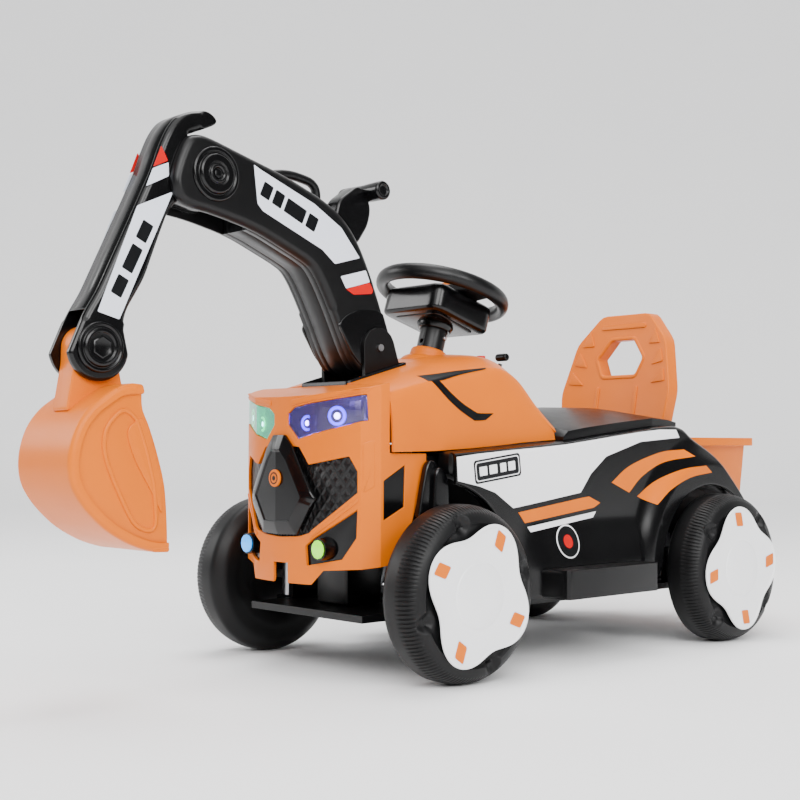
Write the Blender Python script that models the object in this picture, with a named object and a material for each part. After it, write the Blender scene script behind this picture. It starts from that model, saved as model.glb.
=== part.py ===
"""A child's ride-on toy excavator: body, steering, arm, bucket, seat and wheels as separate pieces.

Metres, +Z up, the front of the vehicle towards -Y, its left side towards +X. Every outline below is
given in the vehicle's own coordinates: y from the front axle, z from the floor. The empty "vehicle"
then places the whole toy so that the middle of its footprint is the world's origin.
"""

import math

import bmesh
import bpy
from mathutils import Matrix, Vector

# Driving dimensions, metres.
WHEEL_RADIUS = 0.094
WHEEL_WIDTH = 0.057
WHEELBASE = 0.477
OVERALL_WIDTH = 0.402
BODY_HALF = 0.136
HOOD_HALF = 0.117
FASCIA_HALF = 0.112
BOOM_HALF = 0.033
DIPPER_HALF = 0.0225
BUCKET_HALF = 0.054
NECK_HALF = 0.0145
BIN_HALF = 0.100
BIN_FRONT = 0.482
WALL = 0.004
AXLE_RADIUS = 0.005
PIN_RADIUS = 0.004
HINGE_PIN_RADIUS = 0.002
COLUMN_RADIUS = 0.006
SLEEVE_RADIUS = 0.0165
STEERING_TILT = math.radians(16.9)
GAP = 0.0004
PLAY = 0.001
FRONT_REACH = 0.392
REAR_REACH = 0.664

# Places that several pieces share, as (y, z).
COVER_PROUD = 0.0042
WHEEL_OUTER = OVERALL_WIDTH / 2 - COVER_PROUD
WHEEL_INNER = WHEEL_OUTER - WHEEL_WIDTH
FRONT_AXLE = (0.0, WHEEL_RADIUS)
REAR_AXLE = (WHEELBASE, WHEEL_RADIUS)
KINGPIN_X = 0.120
FLOOR_LOW = 0.062
FLOOR_TOP = 0.070
TIE_ROD_Y = 0.050
TIE_ROD_LOW = 0.0725
TIE_ROD_TOP = 0.0765
BOOM_PIVOT = (0.003, 0.360)
BOOM_FOOT_RADIUS = 0.034
ELBOW = (-0.217, 0.528)
BUCKET_PIVOT = (-0.343, 0.344)
LEVER_PIVOT = (-0.030, 0.462)
WHEEL_CENTRE = (0.139, 0.4345)
SEAT_HINGE = (0.4475, 0.2790)
PEDAL_HINGE = (0.237, 0.1135)
LEVER_FOOT = (0.030, 0.1920, 0.3060)
LEVER_KNOB = (0.030, 0.2135, 0.3590)
SWITCH_FOOT = (0.055, 0.150, 0.3440)
ARCH_RADIUS = 0.125
SHIELD_DEPTH = 0.0065

# Colours, as linear RGB.
ORANGE = (0.95, 0.30, 0.02)
BLACK = (0.018, 0.018, 0.019)
WHITE = (0.83, 0.83, 0.85)
STEEL = (0.60, 0.60, 0.60)
SMOKE = (0.25, 0.22, 0.60)
GREEN = (0.12, 0.70, 0.05)
BLUE = (0.05, 0.30, 0.90)


def clear_scene():
    """Remove whatever the file opened with."""
    for obj in list(bpy.data.objects):
        bpy.data.objects.remove(obj, do_unlink=True)


def make_material(name, colour, roughness, metallic=0.0):
    """A Principled material of one colour."""
    material = bpy.data.materials.new(name)
    material.use_nodes = True
    shader = material.node_tree.nodes["Principled BSDF"]
    shader.inputs["Base Color"].default_value = (*colour, 1.0)
    shader.inputs["Roughness"].default_value = roughness
    shader.inputs["Metallic"].default_value = metallic
    return material


def pivot(name, x, point, parent=None):
    """An empty on a joint's axis, in vehicle coordinates."""
    empty = bpy.data.objects.new(name, None)
    bpy.context.scene.collection.objects.link(empty)
    origin = Vector((x, *point))
    empty["vehicle_place"] = origin
    if parent is None:
        empty.location = origin
    else:
        empty.parent = parent
        empty.location = origin - Vector(parent["vehicle_place"])
    return empty


def place(name, mesh, finish, group):
    """Put a mesh drawn in vehicle coordinates under its group's empty, with its origin on that empty."""
    mesh.transform(Matrix.Translation(-Vector(group["vehicle_place"])))
    obj = bpy.data.objects.new(name, mesh)
    bpy.context.scene.collection.objects.link(obj)
    obj.parent = group
    if finish is None:
        obj.hide_render = True
        obj.display_type = "WIRE"
        return obj
    mesh.materials.append(finish)
    mesh.shade_smooth()
    mesh.set_sharp_from_angle(angle=math.radians(35))
    return obj


def mesh_from(vertices, faces):
    """A mesh whose faces all point outwards."""
    mesh = bpy.data.meshes.new("shape")
    mesh.from_pydata([tuple(v) for v in vertices], [], faces)
    work = bmesh.new()
    work.from_mesh(mesh)
    bmesh.ops.recalc_face_normals(work, faces=work.faces)
    work.to_mesh(mesh)
    work.free()
    return mesh


def loft(rings, caps=True):
    """A skin through rings of equal length, closed by a face at each end."""
    count = len(rings[0])
    vertices = [point for ring in rings for point in ring]
    faces = []
    for r in range(len(rings) - 1):
        for i in range(count):
            j = (i + 1) % count
            faces.append((r * count + i, r * count + j, (r + 1) * count + j, (r + 1) * count + i))
    if caps:
        faces.append(tuple(reversed(range(count))))
        faces.append(tuple((len(rings) - 1) * count + i for i in range(count)))
    return mesh_from(vertices, faces)


def prism_x(outline, low, high):
    """A (y, z) outline carried from x = low to x = high."""
    return loft([[(x, y, z) for y, z in outline] for x in (low, high)])


def prism_y(outline, low, high):
    """An (x, z) outline carried from y = low to y = high."""
    return loft([[(x, y, z) for x, z in outline] for y in (low, high)])


def prism_z(outline, low, high):
    """An (x, y) outline carried from z = low to z = high."""
    return loft([[(x, y, z) for x, y in outline] for z in (low, high)])


def block(x_range, y_range, z_range):
    """A box between three pairs of limits."""
    (x0, x1), (y0, y1), (z0, z1) = x_range, y_range, z_range
    return prism_z([(x0, y0), (x1, y0), (x1, y1), (x0, y1)], z0, z1)


def circle(centre, radius, steps, start=0.0):
    """Points round a circle, in the plane of the two numbers given."""
    turn = 2 * math.pi / steps
    return [
        (centre[0] + radius * math.cos(start + turn * i), centre[1] + radius * math.sin(start + turn * i))
        for i in range(steps)
    ]


def arc(centre, radius, start, end, steps):
    """Points along an arc from one angle to another, in degrees, both ends included."""
    angles = [math.radians(start + (end - start) * i / steps) for i in range(steps + 1)]
    return [(centre[0] + radius * math.cos(a), centre[1] + radius * math.sin(a)) for a in angles]


def rounded(outline, radius, steps=3):
    """The outline with each corner replaced by a short curve that starts a radius before it."""
    points = []
    count = len(outline)
    for i in range(count):
        before, corner, after = (Vector(outline[(i + k) % count]) for k in (-1, 0, 1))
        reach_in = min(radius, (before - corner).length * 0.45)
        reach_out = min(radius, (after - corner).length * 0.45)
        first = corner + (before - corner).normalized() * reach_in
        last = corner + (after - corner).normalized() * reach_out
        for k in range(steps + 1):
            t = k / steps
            points.append(tuple(first * (1 - t) ** 2 + corner * 2 * t * (1 - t) + last * t**2))
    return points


def both_sides(half_outline):
    """An outline symmetric about x = 0, from its right half given from bottom to top."""
    return half_outline + [(-x, z) for x, z in reversed(half_outline) if x > 1e-6]


def turned(profile, origin, axis, steps):
    """A closed (along, radius) profile turned about an axis through origin."""
    turn = Vector((0, 0, 1)).rotation_difference(Vector(axis)).to_matrix()
    rings = []
    for i in range(steps):
        angle = 2 * math.pi * i / steps
        side = Vector((math.cos(angle), math.sin(angle), 0))
        rings.append([Vector(origin) + turn @ (side * r + Vector((0, 0, s))) for s, r in profile])
    count = len(profile)
    vertices = [point for ring in rings for point in ring]
    faces = []
    for i in range(steps):
        j = (i + 1) % steps
        for k in range(count):
            m = (k + 1) % count
            faces.append((i * count + k, i * count + m, j * count + m, j * count + k))
    return mesh_from(vertices, faces)


def rod(start, end, radius, steps=16, bore=0.0):
    """A round bar, or a tube where it has a bore, from one point to another."""
    start, end = Vector(start), Vector(end)
    axis = end - start
    turn = Vector((0, 0, 1)).rotation_difference(axis).to_matrix()
    if bore:
        profile = [(0, bore), (0, radius), (axis.length, radius), (axis.length, bore)]
        return turned(profile, start, axis.normalized(), steps)
    ring = [turn @ Vector((x, y, 0)) for x, y in circle((0, 0), radius, steps)]
    return loft([[start + p for p in ring], [end + p for p in ring]])


def tube(points, radius, steps=10):
    """A round bar along a route that stays in one plane of constant x."""
    rings = []
    for i, point in enumerate(points):
        before, after = points[max(i - 1, 0)], points[min(i + 1, len(points) - 1)]
        along = (Vector(after) - Vector(before)).normalized()
        side = Vector((1, 0, 0))
        up = along.cross(side)
        rings.append(
            [Vector(point) + side * (radius * c) + up * (radius * s) for c, s in circle((0, 0), 1, steps)]
        )
    return loft(rings)


def change(obj, mesh, operation):
    """Cut the mesh from an object, join it on, or keep only what they share."""
    tool = place(obj.name + "_" + operation.lower(), mesh, None, obj.parent)
    step = obj.modifiers.new(operation.lower(), "BOOLEAN")
    step.operation = operation
    step.object = tool
    step.solver = "EXACT"
    return obj


def cut(obj, *meshes):
    """Cut each mesh out of the object."""
    for mesh in meshes:
        change(obj, mesh, "DIFFERENCE")


def join(obj, *meshes):
    """Join each mesh to the object."""
    for mesh in meshes:
        change(obj, mesh, "UNION")


def soften(obj, width, steps=2, angle=40):
    """Round the object's sharp edges."""
    edge = obj.modifiers.new("rounded_edges", "BEVEL")
    edge.width = width
    edge.segments = steps
    edge.limit_method = "ANGLE"
    edge.angle_limit = math.radians(angle)
    edge.use_clamp_overlap = True
    return obj


def along_column(height):
    """The point of the steering column's axis at a height."""
    y, z = WHEEL_CENTRE
    return Vector((0, y - (z - height) * math.tan(STEERING_TILT), height))


# ---------------------------------------------------------------- wheels


def wheel_body(x_sign, axle, bore):
    """A blow-moulded wheel: dished inside, rounded shoulders, flat outside behind its cover."""
    inner, outer = WHEEL_INNER, WHEEL_OUTER
    profile = [
        (inner + 0.012, bore),
        (inner + 0.012, 0.024),
        (inner + 0.003, 0.034),
        (inner + 0.006, 0.052),
        (inner, 0.074),
        (inner + 0.003, WHEEL_RADIUS - 0.007),
        (inner + 0.010, WHEEL_RADIUS),
        (outer - 0.014, WHEEL_RADIUS),
        (outer - 0.005, WHEEL_RADIUS - 0.006),
        (outer, WHEEL_RADIUS - 0.017),
        (outer, bore),
    ]
    return turned([(s * x_sign, r) for s, r in profile], (0, *axle), (1, 0, 0), 32)


def wheel_cover(x_sign, axle, phase):
    """A thin four-lobed cover: its edge radius swings four times round, and its face is slightly domed."""
    mean_radius, swing, steps = 0.0715, 0.0085, 40
    back = WHEEL_OUTER + GAP
    rings = []
    for x, share in ((back, 0.985), (back + 0.0018, 1.0), (back + COVER_PROUD - GAP, 0.90)):
        ring = []
        for i in range(steps):
            angle = 2 * math.pi * i / steps
            radius = (mean_radius + swing * math.cos(4 * (angle - phase))) * share
            ring.append((x_sign * x, axle[0] + radius * math.cos(angle), axle[1] + radius * math.sin(angle)))
        rings.append(ring)
    return loft(rings)


def build_wheels(groups, finishes):
    """Four wheels with their covers; the front ones ride on the steering knuckles."""
    for corner, (group, x_sign, axle, phase) in groups.items():
        place("wheel_" + corner, wheel_body(x_sign, axle, AXLE_RADIUS + PLAY / 2), finishes["black"], group)
        place("wheel_cover_" + corner, wheel_cover(x_sign, axle, phase), finishes["white"], group)


# ---------------------------------------------------------------- chassis and drive


def build_chassis(root, finishes):
    """Floor frame with the kingpin carriers, the column's lower bearing and the rear axle's hangers."""
    frame = place(
        "chassis_frame",
        block((-0.098, 0.098), (-0.074, 0.560), (FLOOR_LOW, FLOOR_TOP)),
        finishes["black"],
        root,
    )
    for side in (-1, 1):
        web = sorted((side * 0.090, side * 0.098))
        lug = sorted((side * 0.092, side * (KINGPIN_X + 0.012)))
        join(frame, block(web, (-0.020, 0.020), (FLOOR_LOW + 0.002, 0.128)))
        join(frame, block(lug, (-0.012, 0.012), (FLOOR_LOW, 0.0700)))
        join(frame, block(lug, (-0.012, 0.012), (0.118, 0.128)))
        cut(frame, rod((side * KINGPIN_X, 0, 0.05), (side * KINGPIN_X, 0, 0.14), PIN_RADIUS + GAP))
        post = [(-0.016, 0.100), (0.034, 0.100), (0.034, 0.2380), (-0.016, 0.2380)]
        join(frame, prism_x(post, *sorted((side * 0.094, side * 0.1055))))
        hanger = sorted((side * 0.088, side * 0.098))
        join(frame, block(hanger, (WHEELBASE - 0.020, WHEELBASE + 0.020), (FLOOR_LOW + 0.002, 0.116)))
    cut(frame, rod((-0.12, *REAR_AXLE), (0.12, *REAR_AXLE), AXLE_RADIUS + GAP))
    for side in (-1, 1):
        join(frame, block(sorted((side * 0.044, side * 0.056)), (0.062, 0.076), (0.066, 0.138)))
    join(frame, block((-0.056, 0.056), (0.030, 0.076), (0.128, 0.138)))
    foot, head = along_column(0.115), along_column(0.150)
    cut(frame, rod(foot, head, COLUMN_RADIUS + PLAY))

    pedestal = place(
        "boom_pedestal",
        block((-0.027, 0.027), (-0.036, 0.018), (FLOOR_TOP + GAP, 0.2996)),
        finishes["black"],
        root,
    )
    soften(pedestal, 0.004)

    axle_reach = WHEEL_OUTER - 0.001
    place(
        "rear_axle",
        rod((-axle_reach, *REAR_AXLE), (axle_reach, *REAR_AXLE), AXLE_RADIUS, 20),
        finishes["steel"],
        root,
    )
    gearbox = place(
        "motor_gearbox",
        block((0.004, 0.070), (WHEELBASE - 0.045, WHEELBASE + 0.030), (FLOOR_TOP + GAP, 0.134)),
        finishes["black"],
        root,
    )
    soften(gearbox, 0.006)
    cut(gearbox, rod((-0.05, *REAR_AXLE), (0.15, *REAR_AXLE), AXLE_RADIUS + PLAY))
    join(gearbox, rod((0.037, WHEELBASE - 0.110, 0.104), (0.037, WHEELBASE - 0.040, 0.104), 0.018, 24))
    battery = place(
        "battery", block((-0.045, 0.045), (0.255, 0.350), (FLOOR_TOP + GAP, 0.122)), finishes["black"], root
    )
    soften(battery, 0.002, 1)


def build_steering(groups, finishes):
    """Knuckles on their kingpins, the tie rod, the column, and the wheel with its horn buttons."""
    for side, name in ((1, "left"), (-1, "right")):
        group = groups["knuckle_" + name]
        x = side * KINGPIN_X
        knuckle = place(
            "steering_knuckle_" + name,
            rod((x, 0, 0.0705), (x, 0, 0.1175), 0.010, 20),
            finishes["black"],
            group,
        )
        join(knuckle, block((x - 0.007, x + 0.007), (0.0, TIE_ROD_Y + 0.007), (0.0795, 0.0855)))
        join(knuckle, rod((x, TIE_ROD_Y, FLOOR_TOP + PLAY), (x, TIE_ROD_Y, 0.082), 0.003, 12))
        join(knuckle, rod((x + side * 0.006, *FRONT_AXLE), (side * (WHEEL_OUTER - 0.001), *FRONT_AXLE), AXLE_RADIUS, 20))
        cut(knuckle, rod((x, 0, 0.06), (x, 0, 0.13), PIN_RADIUS + PLAY / 2))
        place(
            "kingpin_" + name,
            rod((x, 0, FLOOR_LOW + 0.001), (x, 0, 0.130), PIN_RADIUS, 16),
            finishes["steel"],
            groups["root"],
        )

    bar = place(
        "tie_rod",
        block((-KINGPIN_X - 0.012, KINGPIN_X + 0.012), (0.0365, 0.0585), (TIE_ROD_LOW, TIE_ROD_TOP)),
        finishes["steel"],
        groups["tie_rod"],
    )
    slot_x, slot_y = 0.0045, (0.0395, 0.0545)
    for x in (-KINGPIN_X, 0, KINGPIN_X):
        cut(bar, block((x - slot_x, x + slot_x), slot_y, (0.06, 0.09)))

    group = groups["steering"]
    top, low = along_column(0.4130), along_column(0.0830)
    column = place("steering_column", rod(low, top, COLUMN_RADIUS, 20), finishes["steel"], group)
    crank_root = along_column(0.083)
    join(column, block((-0.007, 0.007), (crank_root.y - 0.004, TIE_ROD_Y + 0.006), (0.0795, 0.0865)))
    join(column, rod((0, TIE_ROD_Y, FLOOR_TOP + PLAY), (0, TIE_ROD_Y, 0.083), 0.003, 12))

    normal = (along_column(1.0) - along_column(0.0)).normalized()
    across = Vector((0, math.cos(STEERING_TILT), -math.sin(STEERING_TILT)))
    centre = Vector((0, *WHEEL_CENTRE))
    ring_profile = [
        (0.0100 * math.sin(a), 0.0745 + 0.0078 * math.cos(a)) for a in (2 * math.pi * i / 8 for i in range(8))
    ]
    rim = place("steering_wheel", turned(ring_profile, centre, normal, 32), finishes["black"], group)

    def hub_shape(half_width, front, back, low_side, high_side):
        """A box in the wheel's own plane: x by across by normal."""
        rings = []
        for height in (low_side, high_side):
            rings.append(
                [
                    centre + Vector((x, 0, 0)) + across * t + normal * height
                    for x, t in ((-half_width, front), (half_width, front), (half_width, back), (-half_width, back))
                ]
            )
        return loft(rings)

    join(rim, hub_shape(0.071, -0.016, 0.018, -0.006, 0.004))
    hub = place(
        "steering_hub_box",
        hub_shape(0.050, -0.050, 0.046, -0.040, -0.0066),
        finishes["black"],
        group,
    )
    soften(hub, 0.006)
    cut(hub, rod(along_column(0.38), along_column(0.4135), COLUMN_RADIUS + GAP, 20))
    place(
        "column_sleeve",
        rod(along_column(0.3560), centre + normal * -0.0406, SLEEVE_RADIUS, 24, COLUMN_RADIUS + GAP),
        finishes["black"],
        group,
    )
    cut(bpy.data.objects["column_sleeve"], rod((0, 0.10, 0.376), (0, 0.17, 0.376), 0.0026, 12))
    pad_top = 0.0095
    pad = place("horn_pad", hub_shape(0.018, -0.012, 0.014, 0.0044 + 0.0015, pad_top), finishes["orange"], groups["horn"])
    soften(pad, 0.002)
    for name, x in (("music_button_left", 0.036), ("music_button_right", -0.036)):
        button_axis = centre + Vector((x, 0, 0))
        place(
            name,
            rod(button_axis + normal * (0.0044 + 0.0015), button_axis + normal * pad_top, 0.0085, 20),
            finishes["orange"],
            groups[name],
        )


# ---------------------------------------------------------------- body


def body_side_outline():
    """The body's side: sill, front arch, waistline rising to the seat, rear slope and rear arch."""
    front = [p for p in arc(FRONT_AXLE, ARCH_RADIUS, 8, 80, 8)]
    rear_arch = [p for p in arc(REAR_AXLE, WHEEL_RADIUS + 0.010, 0, 190, 14)]
    top = [(0.205, 0.2545), (0.387, 0.2745), (0.430, 0.2745), (0.455, 0.262), (0.490, 0.240), (0.530, 0.206)]
    tail = [(0.560, 0.176), (0.592, 0.135), (0.597, 0.094)]
    sill = [(0.360, 0.074), (0.140, 0.074)]
    return front + [(0.022, 0.2425)] + top + tail + rear_arch + sill


def build_body(root, seat_group, finishes):
    """The black main shell with its fenders and running boards, and what stands on it."""
    shell = place("body_shell", prism_x(body_side_outline(), -BODY_HALF, BODY_HALF), finishes["black"], root)
    soften(shell, 0.006, 2, 50)
    deck_low = 0.246
    cavity = [(0.00, 0.05), (0.00, 0.2385), (0.205, deck_low), (0.380, 0.266), (0.425, 0.264)]
    cavity += [(0.480, 0.236), (0.548, 0.166), (0.560, 0.120), (0.560, 0.05)]
    cut(shell, prism_x(cavity, -0.114, 0.114))
    cut(shell, block((-0.088, 0.088), (0.245, 0.415), (0.2, 0.3)))
    cut(shell, block((-0.105, 0.105), (0.010, 0.190), (0.2, 0.3)))
    for side in (1, -1):
        tread = rounded([(BODY_HALF - 0.010, 0.157), (0.185, 0.157), (0.185, 0.325), (BODY_HALF - 0.010, 0.325)], 0.009)
        join(shell, prism_z([(side * x, y) for x, y in tread], 0.076, 0.109))

    seat_rings = []
    for y, crown, rise in (
        (0.2135, 0.012, 0.004),
        (0.222, 0.028, 0.010),
        (0.250, 0.034, 0.011),
        (0.320, 0.0325, 0.011),
        (0.385, 0.026, 0.010),
        (0.425, 0.022, 0.008),
        (SEAT_HINGE[0] - 0.004, 0.017, 0.005),
    ):
        base = min(0.2545 + (y - 0.205) * 0.02 / 0.182, 0.2745) + GAP
        half = 0.129 - 0.006 * max(0.0, (y - 0.385) / 0.06)
        shape = [(half * t, base + rise + (crown - rise) * math.cos(t * math.pi / 2) ** 1.1) for t in seat_steps()]
        seat_rings.append([(half, y, base)] + [(x, y, z) for x, z in shape] + [(-half, y, base)])
    seat = place("seat_lid", loft(seat_rings), finishes["black"], seat_group)
    for side in (-1, 1):
        join(seat, rod((side * 0.030, *SEAT_HINGE), (side * 0.045, *SEAT_HINGE), 0.0042, 16))
        lug = sorted((side * 0.047, side * 0.054))
        join(shell, block(lug, (SEAT_HINGE[0] - 0.0034, SEAT_HINGE[0] + 0.0050), (0.258, SEAT_HINGE[1])))
        join(shell, rod((lug[0], *SEAT_HINGE), (lug[1], *SEAT_HINGE), 0.0037, 20))
    across = [(x, *SEAT_HINGE) for x in (-0.0555, 0.0555)]
    cut(seat, rod(*across, HINGE_PIN_RADIUS + PLAY / 2, 12))
    cut(shell, rod(*across, HINGE_PIN_RADIUS + GAP, 12))
    place("seat_hinge_pin", rod(*across, HINGE_PIN_RADIUS, 12), finishes["steel"], root)


def seat_steps():
    """Shares of the seat's half width, from its left edge to its right edge."""
    count = 12
    return [1 - 2 * i / count for i in range(count + 1)]


def back_front(x, z):
    """The seat back's front face: it leans back with height and curves forward towards its edges."""
    return 0.476 + 0.20 * (z - 0.320) - 0.9 * x * x


def build_seat_back(root, finishes):
    """A curved plate with a six-sided hole."""
    thickness = 0.022
    half_outline = [(0.030, 0.2752), (0.088, 0.2752), (0.094, 0.323), (0.077, 0.394), (0.041, 0.4335)]
    outline = rounded(both_sides(half_outline), 0.008, 2)
    blank = place("seat_back", prism_y(outline, 0.40, 0.56), finishes["orange"], root)
    columns = 12
    grid = [-0.10 + 0.20 * i / columns for i in range(columns + 1)]
    heights = [0.26, 0.46]
    front = [[(x, back_front(x, z), z) for x in grid] for z in heights]
    rings = []
    for z, row in zip(heights, front):
        rings.append(row + [(x, back_front(x, z) + thickness, z) for x in reversed(grid)])
    change(blank, loft(rings), "INTERSECT")
    hexagon = [(-0.028, 0.348), (0.028, 0.348), (0.0385, 0.371), (0.019, 0.397), (-0.019, 0.397), (-0.0385, 0.371)]
    cut(blank, prism_y(hexagon, 0.40, 0.56))


def build_bin(root, finishes):
    """An open box hung behind the seat back, with a rolled rim."""
    rear = REAR_REACH
    front = BIN_FRONT
    rim = prism_z(
        rounded([(-BIN_HALF, front), (BIN_HALF, front), (BIN_HALF, rear), (-BIN_HALF, rear)], 0.012), 0.250, 0.261
    )
    tray = place("rear_bin", rim, finishes["orange"], root)
    wall_half = BIN_HALF - 0.011
    taper = 0.008
    floor_rear, floor_front = rear - 0.022, rear - 0.054
    floor_ring = [(-wall_half + taper, floor_front), (wall_half - taper, floor_front)]
    floor_ring += [(wall_half - taper, floor_rear), (-wall_half + taper, floor_rear)]
    top_ring = [(-wall_half, front + 0.011), (wall_half, front + 0.011)]
    top_ring += [(wall_half, rear - 0.011), (-wall_half, rear - 0.011)]
    outside = loft([[(x, y, 0.120) for x, y in floor_ring], [(x, y, 0.252) for x, y in top_ring]])
    join(tray, outside)
    inset = WALL * 0.8
    middle = rear - 0.040
    inner = []
    for ring, z in ((floor_ring, 0.120), (top_ring, 0.252)):
        inner.append([(x - math.copysign(inset, x), y + math.copysign(inset, middle - y), z) for x, y in ring])
    cut(tray, loft([[(x, y, 0.124) for x, y, _ in inner[0]], [(x, y, 0.270) for x, y, _ in inner[1]]]))


# ---------------------------------------------------------------- hood and front


def hood_stations():
    """Along y: the lower edge, the shoulder, the crown and the shoulder's half width."""
    return (
        (-0.0465, 0.2425, 0.306, 0.3190, 0.105),
        (0.010, 0.2435, 0.320, 0.3350, 0.107),
        (0.070, 0.2465, 0.333, 0.3510, 0.107),
        (0.120, 0.2500, 0.339, 0.3590, 0.106),
        (0.155, 0.2530, 0.328, 0.3530, 0.105),
        (0.185, 0.2550, 0.300, 0.3270, 0.107),
        (0.203, 0.2560, 0.282, 0.2980, 0.110),
        (0.2125, 0.2565, 0.272, 0.2850, 0.113),
    )


def hood_arch(y, low, shoulder, crown, shoulder_half, inset=0.0):
    """One cross-section of the hood, from the left lower edge over the top to the right one."""
    right = [
        (HOOD_HALF - inset, low),
        (HOOD_HALF - 0.002 - inset, low + 0.55 * (shoulder - low)),
        (shoulder_half + 0.004 - inset, shoulder - 0.006),
        (shoulder_half - 0.004 - inset, shoulder + 0.002 - inset * 0.6),
        (shoulder_half * 0.72 - inset, shoulder + 0.72 * (crown - shoulder) - inset),
        (shoulder_half * 0.38, shoulder + 0.93 * (crown - shoulder) - inset),
        (0.0, crown - inset),
    ]
    return [(x, y, z) for x, z in right] + [(-x, y, z) for x, z in reversed(right[:-1])]


def hood_shell_mesh():
    """The hood's outer skin and its inner skin, joined round the open lower edge and both ends."""
    stations = hood_stations()
    outer = [hood_arch(*station) for station in stations]
    inner = [hood_arch(*station, inset=WALL) for station in stations]
    rings = [o + list(reversed(i)) for o, i in zip(outer, inner)]
    return loft(rings)


def build_hood(root, groups, finishes):
    """The orange hood with its column collar, the drive lever and the power switch."""
    hood = place("hood_cover", hood_shell_mesh(), finishes["orange"], root)
    well = BOOM_HALF + 0.0075
    cut(hood, block((-well, well), (-0.060, 0.0405), (0.29, 0.40)))
    join(hood, rod(along_column(0.340), along_column(0.3640), 0.0205, 24))
    cut(hood, rod(along_column(0.30), along_column(0.39), SLEEVE_RADIUS + PLAY, 24))
    foot, knob = Vector(LEVER_FOOT), Vector(LEVER_KNOB)
    stalk = place("drive_lever", rod(foot, knob, 0.0035, 12), finishes["black"], groups["drive_lever"])
    half_knob = Vector((0.009, 0, 0))
    join(stalk, rod(knob - half_knob, knob + half_knob, 0.0050, 12))
    cut(hood, rod(foot - (knob - foot) * 0.6, knob, 0.0100, 16))
    switch = Vector(SWITCH_FOOT)
    top = switch + Vector((0, 0, 0.013))
    place("power_switch", rod(switch, top, 0.0055, 16), finishes["black"], groups["power_switch"])
    cut(hood, rod(switch - Vector((0, 0, 0.02)), top, 0.0055 + PLAY / 2, 16))


def front_y(x):
    """The swept front in plan: blunt at the middle, turning back towards the sides."""
    x = abs(x)
    if x < 0.05:
        return -0.108 + 0.004 * x / 0.05
    if x < 0.10:
        return -0.104 + 0.026 * (x - 0.05) / 0.05
    return -0.078 + 0.018 * (x - 0.10) / 0.012


FRONT_X = (-0.110, -0.100, -0.075, -0.05, -0.025, 0.0, 0.025, 0.05, 0.075, 0.100, 0.110)


def front_band(near, far, low, high, half):
    """A V-shaped band that follows the swept front, between two depths behind it."""
    xs = [-half] + [x for x in FRONT_X if abs(x) < half - 1e-6] + [half]
    plan = [(x, front_y(x) + near) for x in xs] + [(x, front_y(x) + far) for x in reversed(xs)]
    return prism_z(plan, low, high)


def front_insert(name, outline, near, far, finish, group):
    """A piece of the front: an (x, z) outline seen from ahead, at a depth behind the swept face."""
    xs = [x for x, _ in outline]
    zs = [z for _, z in outline]
    half = max(abs(x) for x in xs) + 0.002
    piece = place(name, front_band(near, far, min(zs) - 0.002, max(zs) + 0.002, half), finish, group)
    return change(piece, prism_y(outline, -0.20, 0.02), "INTERSECT")


def grown(outline, step):
    """The outline moved outwards by a step (inwards where it is negative), corner by corner."""
    area = sum(a[0] * b[1] - b[0] * a[1] for a, b in zip(outline, outline[1:] + outline[:1]))
    sign = 1 if area > 0 else -1
    points = []
    count = len(outline)
    for i in range(count):
        before, corner, after = (Vector(outline[(i + k) % count]) for k in (-1, 0, 1))
        first, second = (corner - before).normalized(), (after - corner).normalized()
        normal_a, normal_b = Vector((first.y, -first.x)) * sign, Vector((second.y, -second.x)) * sign
        bisector = (normal_a + normal_b).normalized()
        points.append(tuple(corner + bisector * (step / max(bisector.dot(normal_a), 0.35))))
    return points


def grille_outline():
    """The grille opening seen from ahead."""
    half = [(0.0, 0.1505), (0.030, 0.152), (0.046, 0.156), (0.0965, 0.1995), (0.0965, 0.222), (0.088, 0.238)]
    half += [(0.045, 0.229), (0.030, 0.248), (0.0, 0.250)]
    return half + [(-x, z) for x, z in reversed(half[1:-1])]


def headlamp_outline(side):
    """A headlamp opening: slanted up and outwards."""
    points = [(0.012, 0.272), (0.028, 0.256), (0.1045, 0.276), (0.1035, 0.3035), (0.022, 0.291), (0.012, 0.284)]
    return [(side * x, z) for x, z in points]


def fog_outline(side):
    """A fog lamp recess: a leaning four-sided opening under the grille."""
    points = [(0.042, 0.121), (0.081, 0.129), (0.0955, 0.152), (0.0965, 0.182), (0.040, 0.142)]
    return [(side * x, z) for x, z in points]


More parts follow.
